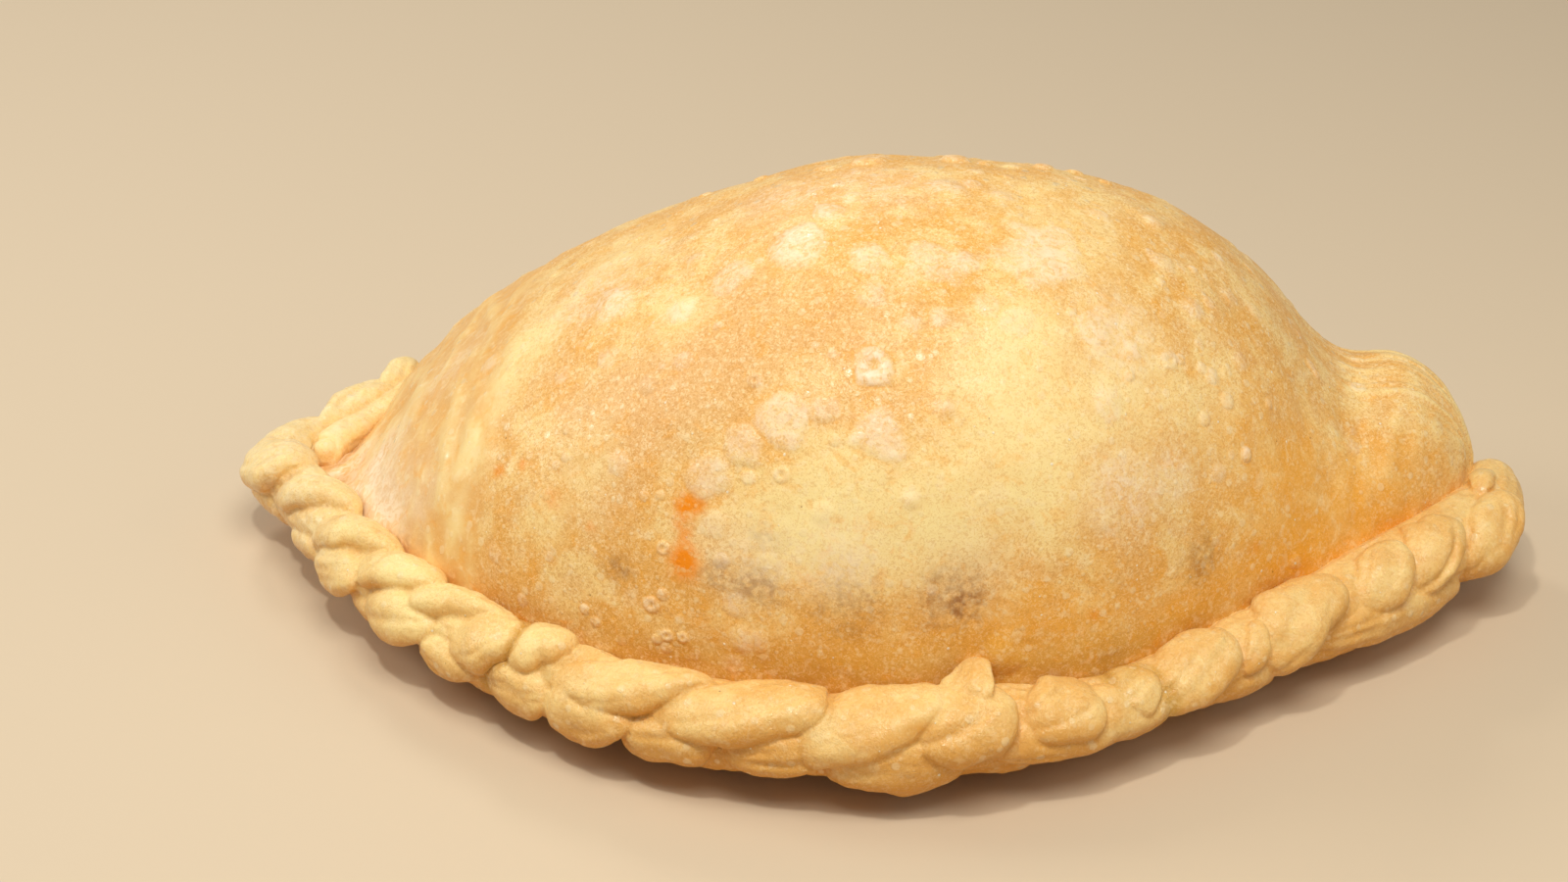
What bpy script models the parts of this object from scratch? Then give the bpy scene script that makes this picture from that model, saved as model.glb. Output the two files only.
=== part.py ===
"""A fried calzone: a puffed half moon of dough whose curved edge is folded into a rope.

Metres, +Z up. The long axis lies along X, the rope runs round the front (-Y), the fold is at the
back (+Y), and the origin is under the middle of the bounding box, on the surface it rests on.

The tables below are in centimetres, with X = 0 halfway between the two corners of the rope and
Y = 0 on the line that joins them.
"""

import math

import bmesh
import bpy
import numpy as np

CM = 0.01

# ---- the puffed body ---------------------------------------------------------------------------
BODY_END = 12.1  # the body's ends, inside the corners of the rope
BODY_CLOSING = 30  # how late the sections close towards the ends; more is blunter
SEAM_TO_BODY = 0.55  # the body's front foot lies this far inside the rope's centre line
# crest of the dome, from the left end to the right: where along X, and how high
CREST = (
    (-12.1, 1.2),
    (-11.2, 1.25),
    (-10.5, 1.55),
    (-9.6, 2.6),
    (-8.5, 3.9),
    (-6.5, 5.7),
    (-4.0, 7.2),
    (-1.0, 8.5),
    (1.5, 8.7),
    (4.0, 8.3),
    (6.0, 7.4),
    (7.5, 6.2),
    (8.6, 4.8),
    (9.4, 4.1),
    (10.4, 4.1),
    (11.2, 3.8),
    (12.1, 3.1),
)
# the fold at the back, seen from above
BACK_FOLD = (
    (-12.1, 0.0),
    (-11.2, 1.1),
    (-10.6, 2.1),
    (-10.2, 3.1),
    (-9.7, 3.9),
    (-8.0, 4.5),
    (-5.0, 4.9),
    (0.0, 5.0),
    (5.0, 4.9),
    (8.0, 4.5),
    (10.0, 3.9),
    (11.2, 3.0),
    (12.1, 1.9),
)
# height of the widest line at the front and at the back, where a high crest doesn't press on it
FRONT_LEVEL = 1.95
BACK_LEVEL = 3.70
DOME_FULLNESS = 2.15  # exponent of the section over the widest line; 2 is an ellipse
BELLY_FULLNESS = 3.0  # and under it
BELLY_SAG = 0.12  # how far the belly is pressed flat where it rests
END_LIFT = 0.5  # how far the belly rises at both ends
END_LIFT_POWER = 6  # how close to the ends it rises
BODY_STATIONS = 56
BODY_TIP = 0.012  # how close to its end the first section lies, as a share of the half turn
BODY_SIDES = 38

# ---- the rope ----------------------------------------------------------------------------------
# centre line from the back left, round the left corner and the front, to the right corner:
# X, Y, height and radius
ROPE_ROUTE = (
    (-10.2, 4.2, 1.42, 0.27),
    (-10.35, 3.7, 1.40, 0.31),
    (-10.5, 3.1, 1.36, 0.34),
    (-10.8, 2.4, 1.32, 0.38),
    (-11.3, 1.6, 1.30, 0.44),
    (-11.7, 1.0, 1.32, 0.56),
    (-12.0, 0.3, 1.35, 0.72),
    (-12.0, -0.5, 1.40, 0.80),
    (-11.3, -1.4, 1.40, 0.82),
    (-10.3, -2.7, 1.40, 0.82),
    (-8.5, -4.8, 1.40, 0.84),
    (-5.9, -6.7, 1.40, 0.88),
    (-3.0, -8.0, 1.40, 0.92),
    (0.0, -8.35, 1.40, 0.92),
    (2.8, -7.9, 1.45, 0.92),
    (5.1, -6.9, 1.40, 0.74),
    (8.2, -4.2, 1.45, 0.92),
    (11.0, -1.4, 1.50, 1.08),
    (12.2, 0.1, 1.55, 1.00),
    (12.4, 1.7, 1.60, 0.72),
)
ROUTE_STEPS = 24  # points read between two rows of the route
CORE_SHARE = 0.66  # the rope's core, as a share of its radius
CORE_STATIONS = 60
CORE_SIDES = 10
END_POINT = 0.08  # how blunt the rope's rounded ends are

# the folds that wrap the core, in order along the rope: where each starts and ends, from the left
# corner, the angle round the rope at its start and at its end (0 faces outwards, 90 up), half its
# width, half its thickness, and how far it stands out of the rope's radius
FOLDS = (
    (-4.9, -3.5, 75, 125, 0.26, 0.22, 0.00),
    (-3.9, -1.4, 60, 130, 0.34, 0.28, 0.02),
    (-0.9, 1.7, -20, 115, 0.74, 0.46, 0.00),
    (1.3, 3.7, 0, 125, 0.50, 0.40, 0.04),
    (3.1, 5.7, 0, 112, 0.52, 0.40, 0.04),
    (3.1, 5.5, -45, 15, 0.52, 0.38, 0.06),
    (4.8, 7.4, 20, 105, 0.52, 0.42, 0.04),
    (5.3, 8.0, -30, 32, 0.54, 0.40, 0.04),
    (6.3, 9.5, 32, 104, 0.44, 0.40, 0.02),
    (7.6, 9.8, 0, 105, 0.54, 0.44, 0.02),
    (8.4, 10.6, -35, 5, 0.52, 0.42, 0.04),
    (9.3, 10.5, 50, 100, 0.42, 0.40, 0.06),
    (9.4, 13.6, 34, 88, 0.54, 0.46, 0.00),
    (9.8, 12.1, -42, -4, 0.56, 0.44, 0.08),
    (11.8, 15.7, 14, 92, 0.60, 0.50, 0.02),
    (11.3, 13.9, -38, 0, 0.56, 0.46, 0.00),
    (14.0, 17.8, 14, 84, 0.64, 0.50, 0.02),
    (13.1, 16.0, -32, 4, 0.56, 0.46, -0.06),
    (16.2, 19.0, 10, 68, 0.72, 0.54, 0.06),
    (15.1, 18.2, -50, -14, 0.62, 0.48, 0.14),
    (17.5, 18.1, 55, 128, 0.36, 0.22, 0.12),
    (18.6, 20.6, 22, 78, 0.48, 0.42, 0.02),
    (20.0, 21.4, 30, 84, 0.42, 0.40, 0.06),
    (17.6, 21.7, -20, 0, 0.54, 0.42, 0.00),
    (20.9, 23.3, 0, 82, 0.66, 0.44, 0.00),
    (22.9, 24.0, 5, 90, 0.30, 0.36, -0.04),
    (23.2, 26.0, -8, 88, 0.72, 0.50, 0.02),
    (25.4, 26.4, 20, 94, 0.28, 0.36, -0.05),
    (24.5, 27.6, -26, 2, 0.58, 0.46, 0.00),
    (25.8, 27.5, 8, 92, 0.58, 0.50, -0.02),
    (27.1, 29.3, -6, 88, 0.68, 0.54, 0.00),
    (28.5, 30.5, -20, 88, 0.70, 0.52, 0.02),
    (30.2, 31.4, 30, 110, 0.40, 0.34, 0.04),
)
FOLD_STATIONS = 8
FOLD_SIDES = 8
FOLD_TIP = 0.35  # width of a fold's tips, as a share of its middle
FOLD_BLUNTNESS = 0.6  # how soon it widens from them; less is sooner
FOLD_DIVE = 0.30  # how far a fold's start lies under the one before it, as a share of the radius
FOLD_DIVE_END = 0.5  # where it has come out, as a share of its length
# folds under the rope, which repeat the twist where it isn't seen from above
UNDER_FIRST = -1.2
UNDER_LAST = 29.0
UNDER_PITCH = 2.5
UNDER_LENGTH = 2.9
UNDER_ANGLES = (-125, -45)
UNDER_WIDTH = 0.55
UNDER_THICKNESS = 0.38
UNDER_LIFT = 0.0

# ---- blisters ----------------------------------------------------------------------------------
# raised by the frying oil: where along X, where round the section (0 the front foot, 90 the
# crest, 180 the back), radius and height
BLISTERS = (
    (0.6, 80, 0.62, 0.14),
    (5.2, 76, 1.00, 0.16),
    (-3.0, 72, 0.80, 0.14),
    (-0.5, 74, 0.45, 0.10),
    (1.9, 78, 0.50, 0.10),
    (3.3, 78, 0.60, 0.10),
    (0.3, 50, 0.62, 0.12),
    (-1.2, 42, 0.60, 0.12),
    (2.1, 44, 0.58, 0.12),
    (1.9, 56, 0.42, 0.14),
)

BLISTER_CENTRE = (0.0, -1.5, 2.0)  # the blisters rise straight away from here

CRUST_COLOUR = (0.72, 0.46, 0.17, 1.0)
CRUST_ROUGHNESS = 0.42
SMOOTH_ANGLE = math.radians(50)


def clear_scene():
    """Remove the objects that the scene holds."""
    for old in list(bpy.data.objects):
        bpy.data.objects.remove(old, do_unlink=True)


def smooth_curve(rows, steps):
    """Points of a Catmull-Rom curve through the rows."""
    rows = np.array(rows, dtype=float)
    ends = np.vstack([2 * rows[0] - rows[1], rows, 2 * rows[-1] - rows[-2]])
    t = np.linspace(0.0, 1.0, steps, endpoint=False)[:, None]
    points = []
    for i in range(1, len(ends) - 2):
        a, b, c, d = ends[i - 1 : i + 3]
        bend = 2 * a - 5 * b + 4 * c - d
        twist = 3 * b - a - 3 * c + d
        points.append(0.5 * (2 * b + (c - a) * t + bend * t**2 + twist * t**3))
    points.append(rows[-1:])
    return np.vstack(points)


def along_x(rows, x):
    """Value at each x of the smooth curve through the rows."""
    curve = smooth_curve(rows, ROUTE_STEPS)
    return np.interp(x, curve[:, 0], curve[:, 1])


def signed_power(value, exponent):
    """A power that keeps the sign."""
    return np.sign(value) * np.abs(value) ** exponent


class RopeRoute:
    """The rope's centre line, read by the distance from the left corner."""

    def __init__(self):
        curve = smooth_curve(ROPE_ROUTE, ROUTE_STEPS)
        self.points = curve[:, :3]
        self.radii = curve[:, 3]
        steps = np.linalg.norm(np.diff(self.points, axis=0), axis=1)
        self.lengths = np.concatenate([[0.0], np.cumsum(steps)])
        self.lengths -= self.lengths[np.argmin(self.points[:, 0])]
        tangents = np.gradient(self.points, axis=0)
        self.tangents = tangents / np.linalg.norm(tangents, axis=1)[:, None]

    def read(self, values, length):
        """Interpolate a column set at a distance along the rope."""
        columns = [np.interp(length, self.lengths, column) for column in values.T]
        return np.stack(columns, axis=-1)

    def place(self, length):
        """Centre, radius, outward and upward directions at a distance along the rope."""
        centre = self.read(self.points, length)
        radius = np.interp(length, self.lengths, self.radii)
        along = self.read(self.tangents, length)
        out = np.stack([along[..., 1], -along[..., 0], 0 * along[..., 0]], axis=-1)
        out /= np.linalg.norm(out, axis=-1, keepdims=True)
        up = np.cross(out, along)
        return centre, radius, out, up


def ring_mesh(name, rings):
    """A closed body lofted through rings of points, with a point at each end."""
    mesh = bmesh.new()
    loops = []
    for ring in rings:
        loops.append([mesh.verts.new(point * CM) for point in ring])
    for near, far in zip(loops, loops[1:]):
        for i in range(len(near)):
            j = (i + 1) % len(near)
            mesh.faces.new((near[i], near[j], far[j], far[i]))
    for ring, loop in ((rings[0], loops[0]), (rings[-1], loops[-1])):
        tip = mesh.verts.new(ring.mean(axis=0) * CM)
        for i in range(len(loop)):
            mesh.faces.new((tip, loop[i], loop[(i + 1) % len(loop)]))
    bmesh.ops.recalc_face_normals(mesh, faces=mesh.faces)
    if mesh.calc_volume(signed=True) < 0:
        bmesh.ops.reverse_faces(mesh, faces=mesh.faces)
    bmesh.ops.triangulate(mesh, faces=mesh.faces)
    data = bpy.data.meshes.new(name)
    mesh.to_mesh(data)
    mesh.free()
    solid = bpy.data.objects.new(name, data)
    bpy.context.collection.objects.link(solid)
    return solid


def body_section(x, angle):
    """Points of the body at each x, round the section by the angle from its front foot."""
    route = smooth_curve(ROPE_ROUTE, ROUTE_STEPS)
    front_half = route[np.argmin(route[:, 0]) : np.argmax(route[:, 0]) + 1]
    front = np.interp(x, front_half[:, 0], front_half[:, 1]) + SEAM_TO_BODY
    back = along_x(BACK_FOLD, x)
    crest = along_x(CREST, x)
    middle = 0.5 * (front + back)
    closing = np.sqrt(1 - np.abs(x / BODY_END) ** BODY_CLOSING)
    half = 0.5 * (back - front) * closing
    across = -np.cos(angle)
    height = np.sin(angle)
    y = middle + half * signed_power(across, 2 / DOME_FULLNESS)
    level = FRONT_LEVEL + (BACK_LEVEL - FRONT_LEVEL) * (0.5 + 0.5 * across)
    widest = level * crest / (level + crest)
    lift = END_LIFT * np.abs(x / BODY_END) ** END_LIFT_POWER
    dome = widest + (crest - widest) * closing * np.abs(height) ** (2 / DOME_FULLNESS)
    floor = lift - BELLY_SAG
    belly = widest - (widest - floor) * closing * np.abs(height) ** (2 / BELLY_FULLNESS)
    z = np.where(height >= 0, dome, np.maximum(belly, 0.0))
    return np.stack([x + 0 * y, y, z], axis=-1)


def raise_blisters(points):
    """Lift the blisters out of the body's surface."""
    centre = np.array(BLISTER_CENTRE)
    for x, turn, radius, height in BLISTERS:
        top = body_section(np.array(x), np.array(math.radians(turn)))
        away = np.linalg.norm(points - top, axis=-1) / radius
        swell = height * np.clip(1 - away**2, 0, None)
        outward = top - centre
        points = points + swell[..., None] * outward / np.linalg.norm(outward)
    return points


def make_body():
    """The puffed half moon, from end to end along X."""
    turns = np.linspace(BODY_TIP, 1 - BODY_TIP, BODY_STATIONS) * math.pi
    stations = -BODY_END * np.cos(turns)
    angles = np.linspace(0, 2 * math.pi, BODY_SIDES, endpoint=False)
    points = body_section(stations[:, None], angles[None, :])
    return ring_mesh("body", raise_blisters(points))


def make_core(route):
    """The rope's core."""
    lengths = np.linspace(route.lengths[0], route.lengths[-1], CORE_STATIONS)
    angles = np.linspace(0, 2 * math.pi, CORE_SIDES, endpoint=False)[None, :, None]
    centre, radius, out, up = route.place(lengths)
    radius = CORE_SHARE * radius
    from_end = np.minimum(lengths - lengths[0], lengths[-1] - lengths)
    rounding = np.clip(1 - from_end / radius, 0, 1 - END_POINT)
    radius = radius * np.sqrt(1 - rounding**2)
    spoke = np.cos(angles) * out[:, None] + np.sin(angles) * up[:, None]
    return ring_mesh("core", centre[:, None] + radius[:, None, None] * spoke)


def make_fold(route, start, end, first_angle, last_angle, half_width, half_thickness, lift):
    """One fold of dough, laid slantwise over the core and tapered at both tips."""
    share = np.linspace(0.0, 1.0, FOLD_STATIONS)
    lengths = start + (end - start) * share
    turn = np.radians(first_angle + (last_angle - first_angle) * share)[:, None]
    centre, radius, out, up = route.place(lengths)
    spoke = np.cos(turn) * out + np.sin(turn) * up
    dive = FOLD_DIVE * np.clip(1 - share / FOLD_DIVE_END, 0, 1) ** 2
    height = radius * (1 - dive) + lift - half_thickness
    line = centre + height[:, None] * spoke
    along = np.gradient(line, axis=0)
    side = np.cross(spoke, along)
    side /= np.linalg.norm(side, axis=1)[:, None]
    taper = FOLD_TIP + (1 - FOLD_TIP) * np.sin(math.pi * share) ** FOLD_BLUNTNESS
    angles = np.linspace(0, 2 * math.pi, FOLD_SIDES, endpoint=False)[None, :, None]
    width = (half_width * taper)[:, None, None] * np.cos(angles) * side[:, None]
    depth = (half_thickness * taper)[:, None, None] * np.sin(angles) * spoke[:, None]
    return ring_mesh("fold", line[:, None] + width + depth)


def make_folds(route):
    """All the folds, those that show from above and those under the rope."""
    folds = [make_fold(route, *row) for row in FOLDS]
    for start in np.arange(UNDER_FIRST, UNDER_LAST, UNDER_PITCH):
        row = (start, start + UNDER_LENGTH, *UNDER_ANGLES, UNDER_WIDTH, UNDER_THICKNESS, UNDER_LIFT)
        folds.append(make_fold(route, *row))
    return folds


def join(base, pieces):
    """Unite the pieces with the base in one closed solid."""
    group = bpy.data.collections.new("pieces")
    bpy.context.scene.collection.children.link(group)
    for piece in pieces:
        bpy.context.collection.objects.unlink(piece)
        group.objects.link(piece)
    union = base.modifiers.new("union", "BOOLEAN")
    union.operation = "UNION"
    union.operand_type = "COLLECTION"
    union.collection = group
    union.solver = "MANIFOLD"
    bpy.context.view_layer.objects.active = base
    bpy.ops.object.modifier_apply(modifier=union.name)
    for piece in pieces:
        bpy.data.objects.remove(piece, do_unlink=True)
    bpy.data.collections.remove(group)


def split_faces(solid):
    """Cut every face of the solid into triangles."""
    mesh = bmesh.new()
    mesh.from_mesh(solid.data)
    bmesh.ops.triangulate(mesh, faces=mesh.faces)
    mesh.to_mesh(solid.data)
    mesh.free()


def stand_on_origin(solid):
    """Move the mesh so that the origin lies under the middle of its box."""
    corners = np.array([vertex.co for vertex in solid.data.vertices])
    low = corners.min(axis=0)
    high = corners.max(axis=0)
    middle = 0.5 * (low + high)
    for vertex in solid.data.vertices:
        vertex.co.x -= middle[0]
        vertex.co.y -= middle[1]
        vertex.co.z -= low[2]


def crust_material():
    """Pale golden fried dough with an oily sheen."""
    material = bpy.data.materials.new("fried_crust")
    material.use_nodes = True
    shader = material.node_tree.nodes["Principled BSDF"]
    shader.inputs["Base Color"].default_value = CRUST_COLOUR
    shader.inputs["Roughness"].default_value = CRUST_ROUGHNESS
    shader.inputs["Metallic"].default_value = 0.0
    material.diffuse_color = CRUST_COLOUR
    return material


def main():
    """Model the calzone as one solid."""
    clear_scene()
    route = RopeRoute()
    dough = make_body()
    join(dough, [make_core(route)] + make_folds(route))
    split_faces(dough)
    stand_on_origin(dough)
    dough.name = "dough"
    dough.data.name = "dough"
    dough.data.materials.append(crust_material())
    dough.data.shade_smooth()
    dough.data.set_sharp_from_angle(angle=SMOOTH_ANGLE)


main()
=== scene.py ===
"""The looks of a fried calzone: its puffed, blistered skin and the rope folded along its curved edge.

The classes hold their sizes in centimetres, with X = 0 halfway between the rope's two corners and
Y = 0 on the line that joins them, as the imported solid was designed. The meshes are made in metres.
"""

import itertools
import logging
import math
from collections.abc import Sequence
from dataclasses import dataclass, field
from enum import Enum

import bpy
import numpy as np
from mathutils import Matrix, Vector
from mathutils.kdtree import KDTree


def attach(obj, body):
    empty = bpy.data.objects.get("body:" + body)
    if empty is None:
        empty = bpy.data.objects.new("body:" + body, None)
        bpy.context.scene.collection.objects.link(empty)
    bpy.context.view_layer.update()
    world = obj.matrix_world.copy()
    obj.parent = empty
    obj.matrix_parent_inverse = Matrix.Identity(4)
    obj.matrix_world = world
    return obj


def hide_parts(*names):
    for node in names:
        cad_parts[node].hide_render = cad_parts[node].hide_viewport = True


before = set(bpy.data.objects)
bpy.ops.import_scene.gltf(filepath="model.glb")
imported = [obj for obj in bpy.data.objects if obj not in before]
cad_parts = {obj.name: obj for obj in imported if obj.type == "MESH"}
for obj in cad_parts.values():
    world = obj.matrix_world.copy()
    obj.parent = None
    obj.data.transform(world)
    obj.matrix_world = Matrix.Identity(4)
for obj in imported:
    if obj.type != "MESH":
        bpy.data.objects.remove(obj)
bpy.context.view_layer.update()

LOG = logging.getLogger("calzone")
CM = 0.01
MM = 0.001
DESIGN_ORIGIN = (-0.0771, 2.1318, 0.0)  # where X = 0, Y = 0 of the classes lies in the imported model, cm
CURVE_STEPS = 24  # points read between two rows of a curve
TURN_STEPS = 721  # points read round a section, half a degree apart
BODY = "root"
NODE = "dough"


class Mask(Enum):
    """The surface's painted measures, each a number from 0 to 1 kept with the mesh."""

    MEMBRANE = "membrane"  # thin pale skin over a blister, with a painted highlight on its rim
    CREAM_AND_HIGHLIGHT = "cream"  # pale yellow dough, and painted highlight on the rope's crests and upward faces
    TAN = "tan"  # thin dough, duller and more bubbly
    GOLD_AND_SHADE = "gold_and_shade"  # golden dough, and painted shade low down, on faces that look down and in the creases
    CREASE = "crease"  # painted shade in the narrow line where two parts meet
    FILLING = "filling"  # the filling's shadow through the skin
    STAIN = "stain"  # oil coloured by the filling
    GREY = "grey"  # skin so thin that it looks grey
    SMOOTH = "smooth"  # where the skin has few bubbles


# ---- curves, noise and modelling tools -----------------------------------------------------------


def smooth_curve(rows: Sequence[Sequence[float]], steps: int = CURVE_STEPS) -> np.ndarray:
    """Read a Catmull-Rom curve.

    Args:
        rows: The points that the curve passes through, of any number of columns.
        steps: How many points are read between two rows.

    Returns:
        The curve's points, one a row.
    """
    knots = np.array(rows, dtype=float)
    ends = np.vstack([2 * knots[0] - knots[1], knots, 2 * knots[-1] - knots[-2]])
    share = np.linspace(0.0, 1.0, steps, endpoint=False)[:, None]
    points = []
    for i in range(1, len(ends) - 2):
        a, b, c, d = ends[i - 1 : i + 3]
        bend = 2 * a - 5 * b + 4 * c - d
        twist = 3 * b - a - 3 * c + d
        points.append(0.5 * (2 * b + (c - a) * share + bend * share**2 + twist * share**3))
    points.append(knots[-1:])
    return np.vstack(points)


def along_x(rows: Sequence[Sequence[float]], x: np.ndarray) -> np.ndarray:
    """Value at each x of the smooth curve through the rows."""
    curve = smooth_curve(rows)
    return np.interp(x, curve[:, 0], curve[:, 1])


def signed_power(value: np.ndarray, exponent: float) -> np.ndarray:
    """A power that keeps the sign."""
    return np.sign(value) * np.abs(value) ** exponent


def ease(value: np.ndarray, low: float, high: float) -> np.ndarray:
    """A smooth step from 0 at low to 1 at high."""
    share = np.clip((value - low) / (high - low), 0.0, 1.0)
    return share * share * (3 - 2 * share)


@dataclass(frozen=True)
class Lumps:
    """Smooth random lumps, the same on every run.

    Attributes:
        size: Distance between two lumps, in cm.
        seed: Which lumps.
        height: How high they rise, and how far they sink between.
    """

    size: float
    seed: int
    height: float = 1.0

    def at(self, points: np.ndarray) -> np.ndarray:
        """Read the lumps.

        Args:
            points: One point a row, in cm.

        Returns:
            The height at each point.
        """
        cell = points / self.size + 0.37 * self.seed
        low = np.floor(cell).astype(np.int64)
        share = cell - low
        eased = share * share * (3 - 2 * share)
        total = np.zeros(len(points))
        for corner in itertools.product((0, 1), repeat=points.shape[1]):
            weight = np.prod(np.where(corner, eased, 1 - eased), axis=1)
            for axis in range(points.shape[1]):
                slope = self._draw(low + np.array(corner), axis)
                total += weight * slope * (share[:, axis] - corner[axis])
        return self.height * np.clip(2.0 * total, -1, 1)

    def _draw(self, lattice: np.ndarray, axis: int) -> np.ndarray:
        """Draw the slopes of the lattice by mixing the bits of its numbers.

        Args:
            lattice: One lattice point a row.
            axis: The axis that the slopes lie along.

        Returns:
            A random slope from -1 to 1 for each lattice point.
        """
        primes = np.array((73856093, 19349663, 83492791))[: lattice.shape[1]]
        mixed = (lattice * primes).sum(axis=1) + (3 * self.seed + axis) * 2654435761
        mixed = (mixed ^ (mixed >> 15)) * 2246822519 & 0xFFFFFFFF
        mixed = (mixed ^ (mixed >> 13)) * 3266489917 & 0xFFFFFFFF
        return (mixed ^ (mixed >> 16)) / 0x7FFFFFFF - 1


def layered(layers: Sequence[Lumps], points: np.ndarray) -> np.ndarray:
    """The height at each point of several layers of lumps, laid over each other."""
    return sum(layer.at(points) for layer in layers)


def direction(azimuth: float, elevation: float) -> tuple[float, float, float]:
    """Work out the way from the calzone to what stands round it.

    Args:
        azimuth: How far that stands to the right, in degrees.
        elevation: How far it stands above the floor, in degrees.

    Returns:
        The way, of length 1.
    """
    across = math.radians(azimuth)
    up = math.radians(elevation)
    return math.sin(across) * math.cos(up), -math.cos(across) * math.cos(up), math.sin(up)


def deselect_all() -> None:
    """Leave no object selected."""
    bpy.ops.object.select_all(action="DESELECT")


def make_active(piece: bpy.types.Object) -> None:
    """Select one object alone and make it the active one.

    Args:
        piece: The object.
    """
    deselect_all()
    piece.select_set(True)
    bpy.context.view_layer.objects.active = piece


def read_points(piece: bpy.types.Object) -> np.ndarray:
    """Read where the vertices lie.

    Args:
        piece: The object.

    Returns:
        Their places, one a row.
    """
    points = np.empty(3 * len(piece.data.vertices))
    piece.data.vertices.foreach_get("co", points)
    return points.reshape(-1, 3)


def read_normals(piece: bpy.types.Object) -> np.ndarray:
    """Read which way the surface faces at the vertices.

    Args:
        piece: The object.

    Returns:
        Their normals, one a row.
    """
    normals = np.empty(3 * len(piece.data.vertices))
    piece.data.vertices.foreach_get("normal", normals)
    return normals.reshape(-1, 3)


def move_points(piece: bpy.types.Object, points: np.ndarray) -> None:
    """Put every vertex at its row of points."""
    piece.data.vertices.foreach_set("co", np.ascontiguousarray(points, dtype=np.float32).ravel())
    piece.data.update()


def add_ball(name: str, around: int, along: int) -> bpy.types.Object:
    """Add a ball of radius 1 whose poles lie on Z, to be drawn out into a longer shape.

    Args:
        name: Its name.
        around: Points round it.
        along: Rings from pole to pole.

    Returns:
        The ball.
    """
    deselect_all()
    bpy.ops.mesh.primitive_uv_sphere_add(segments=around, ring_count=along, radius=1.0)
    ball = bpy.context.object
    ball.name = name
    ball.data.name = name
    return ball


def ball_turns(ball: bpy.types.Object) -> tuple[np.ndarray, np.ndarray]:
    """Read where each vertex of a ball lies.

    Args:
        ball: The ball.

    Returns:
        Each vertex's share of the way along Z, and its angle round Z.
    """
    points = read_points(ball)
    share = np.arccos(np.clip(-points[:, 2], -1, 1)) / math.pi
    return share, np.arctan2(points[:, 1], points[:, 0])


def point_faces_outwards(piece: bpy.types.Object) -> None:
    """Turn all the faces of a closed mesh outwards.

    Args:
        piece: The object that holds the mesh.
    """
    make_active(piece)
    bpy.ops.object.mode_set(mode="EDIT")
    bpy.ops.mesh.select_all(action="SELECT")
    bpy.ops.mesh.normals_make_consistent(inside=False)
    bpy.ops.object.mode_set(mode="OBJECT")


def apply_modifier(piece: bpy.types.Object, kind: str, **settings: object) -> None:
    """Add a modifier and apply it.

    Args:
        piece: The object.
        kind: The modifier's type.
        settings: The modifier's settings.
    """
    make_active(piece)
    modifier = piece.modifiers.new(kind.lower(), kind)
    for key, value in settings.items():
        setattr(modifier, key, value)
    bpy.ops.object.modifier_apply(modifier=modifier.name)


def join(name: str, pieces: Sequence[bpy.types.Object]) -> bpy.types.Object:
    """Join the pieces' meshes in the first one.

    Args:
        name: The name of what is joined.
        pieces: The objects.

    Returns:
        The first object, which holds all the meshes.
    """
    make_active(pieces[0])
    for piece in pieces:
        piece.select_set(True)
    bpy.ops.object.join()
    joined = bpy.context.object
    joined.name = name
    joined.data.name = name
    return joined


def split_faces(piece: bpy.types.Object, chosen: np.ndarray) -> None:
    """Split each chosen face in four, for finer detail there.

    Args:
        piece: The object.
        chosen: Whether each vertex asks for its faces to be split.
    """
    corners = np.empty(len(piece.data.loops), dtype=np.int32)
    piece.data.loops.foreach_get("vertex_index", corners)
    starts = np.empty(len(piece.data.polygons), dtype=np.int32)
    piece.data.polygons.foreach_get("loop_start", starts)
    asked = np.maximum.reduceat(chosen[corners].astype(np.int8), starts).astype(bool)
    make_active(piece)
    bpy.ops.object.mode_set(mode="EDIT")
    bpy.ops.mesh.select_mode(type="FACE")
    bpy.ops.mesh.select_all(action="DESELECT")
    bpy.ops.object.mode_set(mode="OBJECT")
    piece.data.polygons.foreach_set("select", asked)
    bpy.ops.object.mode_set(mode="EDIT")
    bpy.ops.mesh.subdivide(number_cuts=1)
    bpy.ops.object.mode_set(mode="OBJECT")


def paint(piece: bpy.types.Object, masks: dict[Mask, np.ndarray]) -> None:
    """Keep each mask as a number on the mesh's vertices.

    Args:
        piece: The object.
        masks: Each mask's value at each vertex.
    """
    for mask, values in masks.items():
        layer = piece.data.attributes.new(mask.value, "FLOAT", "POINT")
        layer.data.foreach_set("value", np.clip(values, 0, 1).astype(np.float32))


def place_in_frame(points: np.ndarray) -> np.ndarray:
    """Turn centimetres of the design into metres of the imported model."""
    return (points + np.array(DESIGN_ORIGIN)) * CM


def place_in_design(points: np.ndarray) -> np.ndarray:
    """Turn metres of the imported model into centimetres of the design."""
    return points / CM - np.array(DESIGN_ORIGIN)


def closeness(points: np.ndarray, others: Sequence[bpy.types.Object], reach: float) -> np.ndarray:
    """How close each point lies to other pieces.

    Args:
        points: One point a row, in cm.
        others: The other pieces.
        reach: The distance at which closeness ends, in cm.

    Returns:
        A value for each point, from 0 at the reach to 1 where the pieces touch.
    """
    close = np.zeros(len(points))
    for other in others:
        marks = place_in_design(read_points(other))
        inside = np.ones(len(points), dtype=bool)
        for axis in range(3):
            inside &= points[:, axis] > marks[:, axis].min() - reach
            inside &= points[:, axis] < marks[:, axis].max() + reach
        tree = KDTree(len(marks))
        for i, mark in enumerate(marks):
            tree.insert(mark, i)
        tree.balance()
        for i in np.flatnonzero(inside):
            away = tree.find(points[i])[2]
            if away < reach:
                close[i] = max(close[i], 1 - away / reach)
    return close


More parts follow.
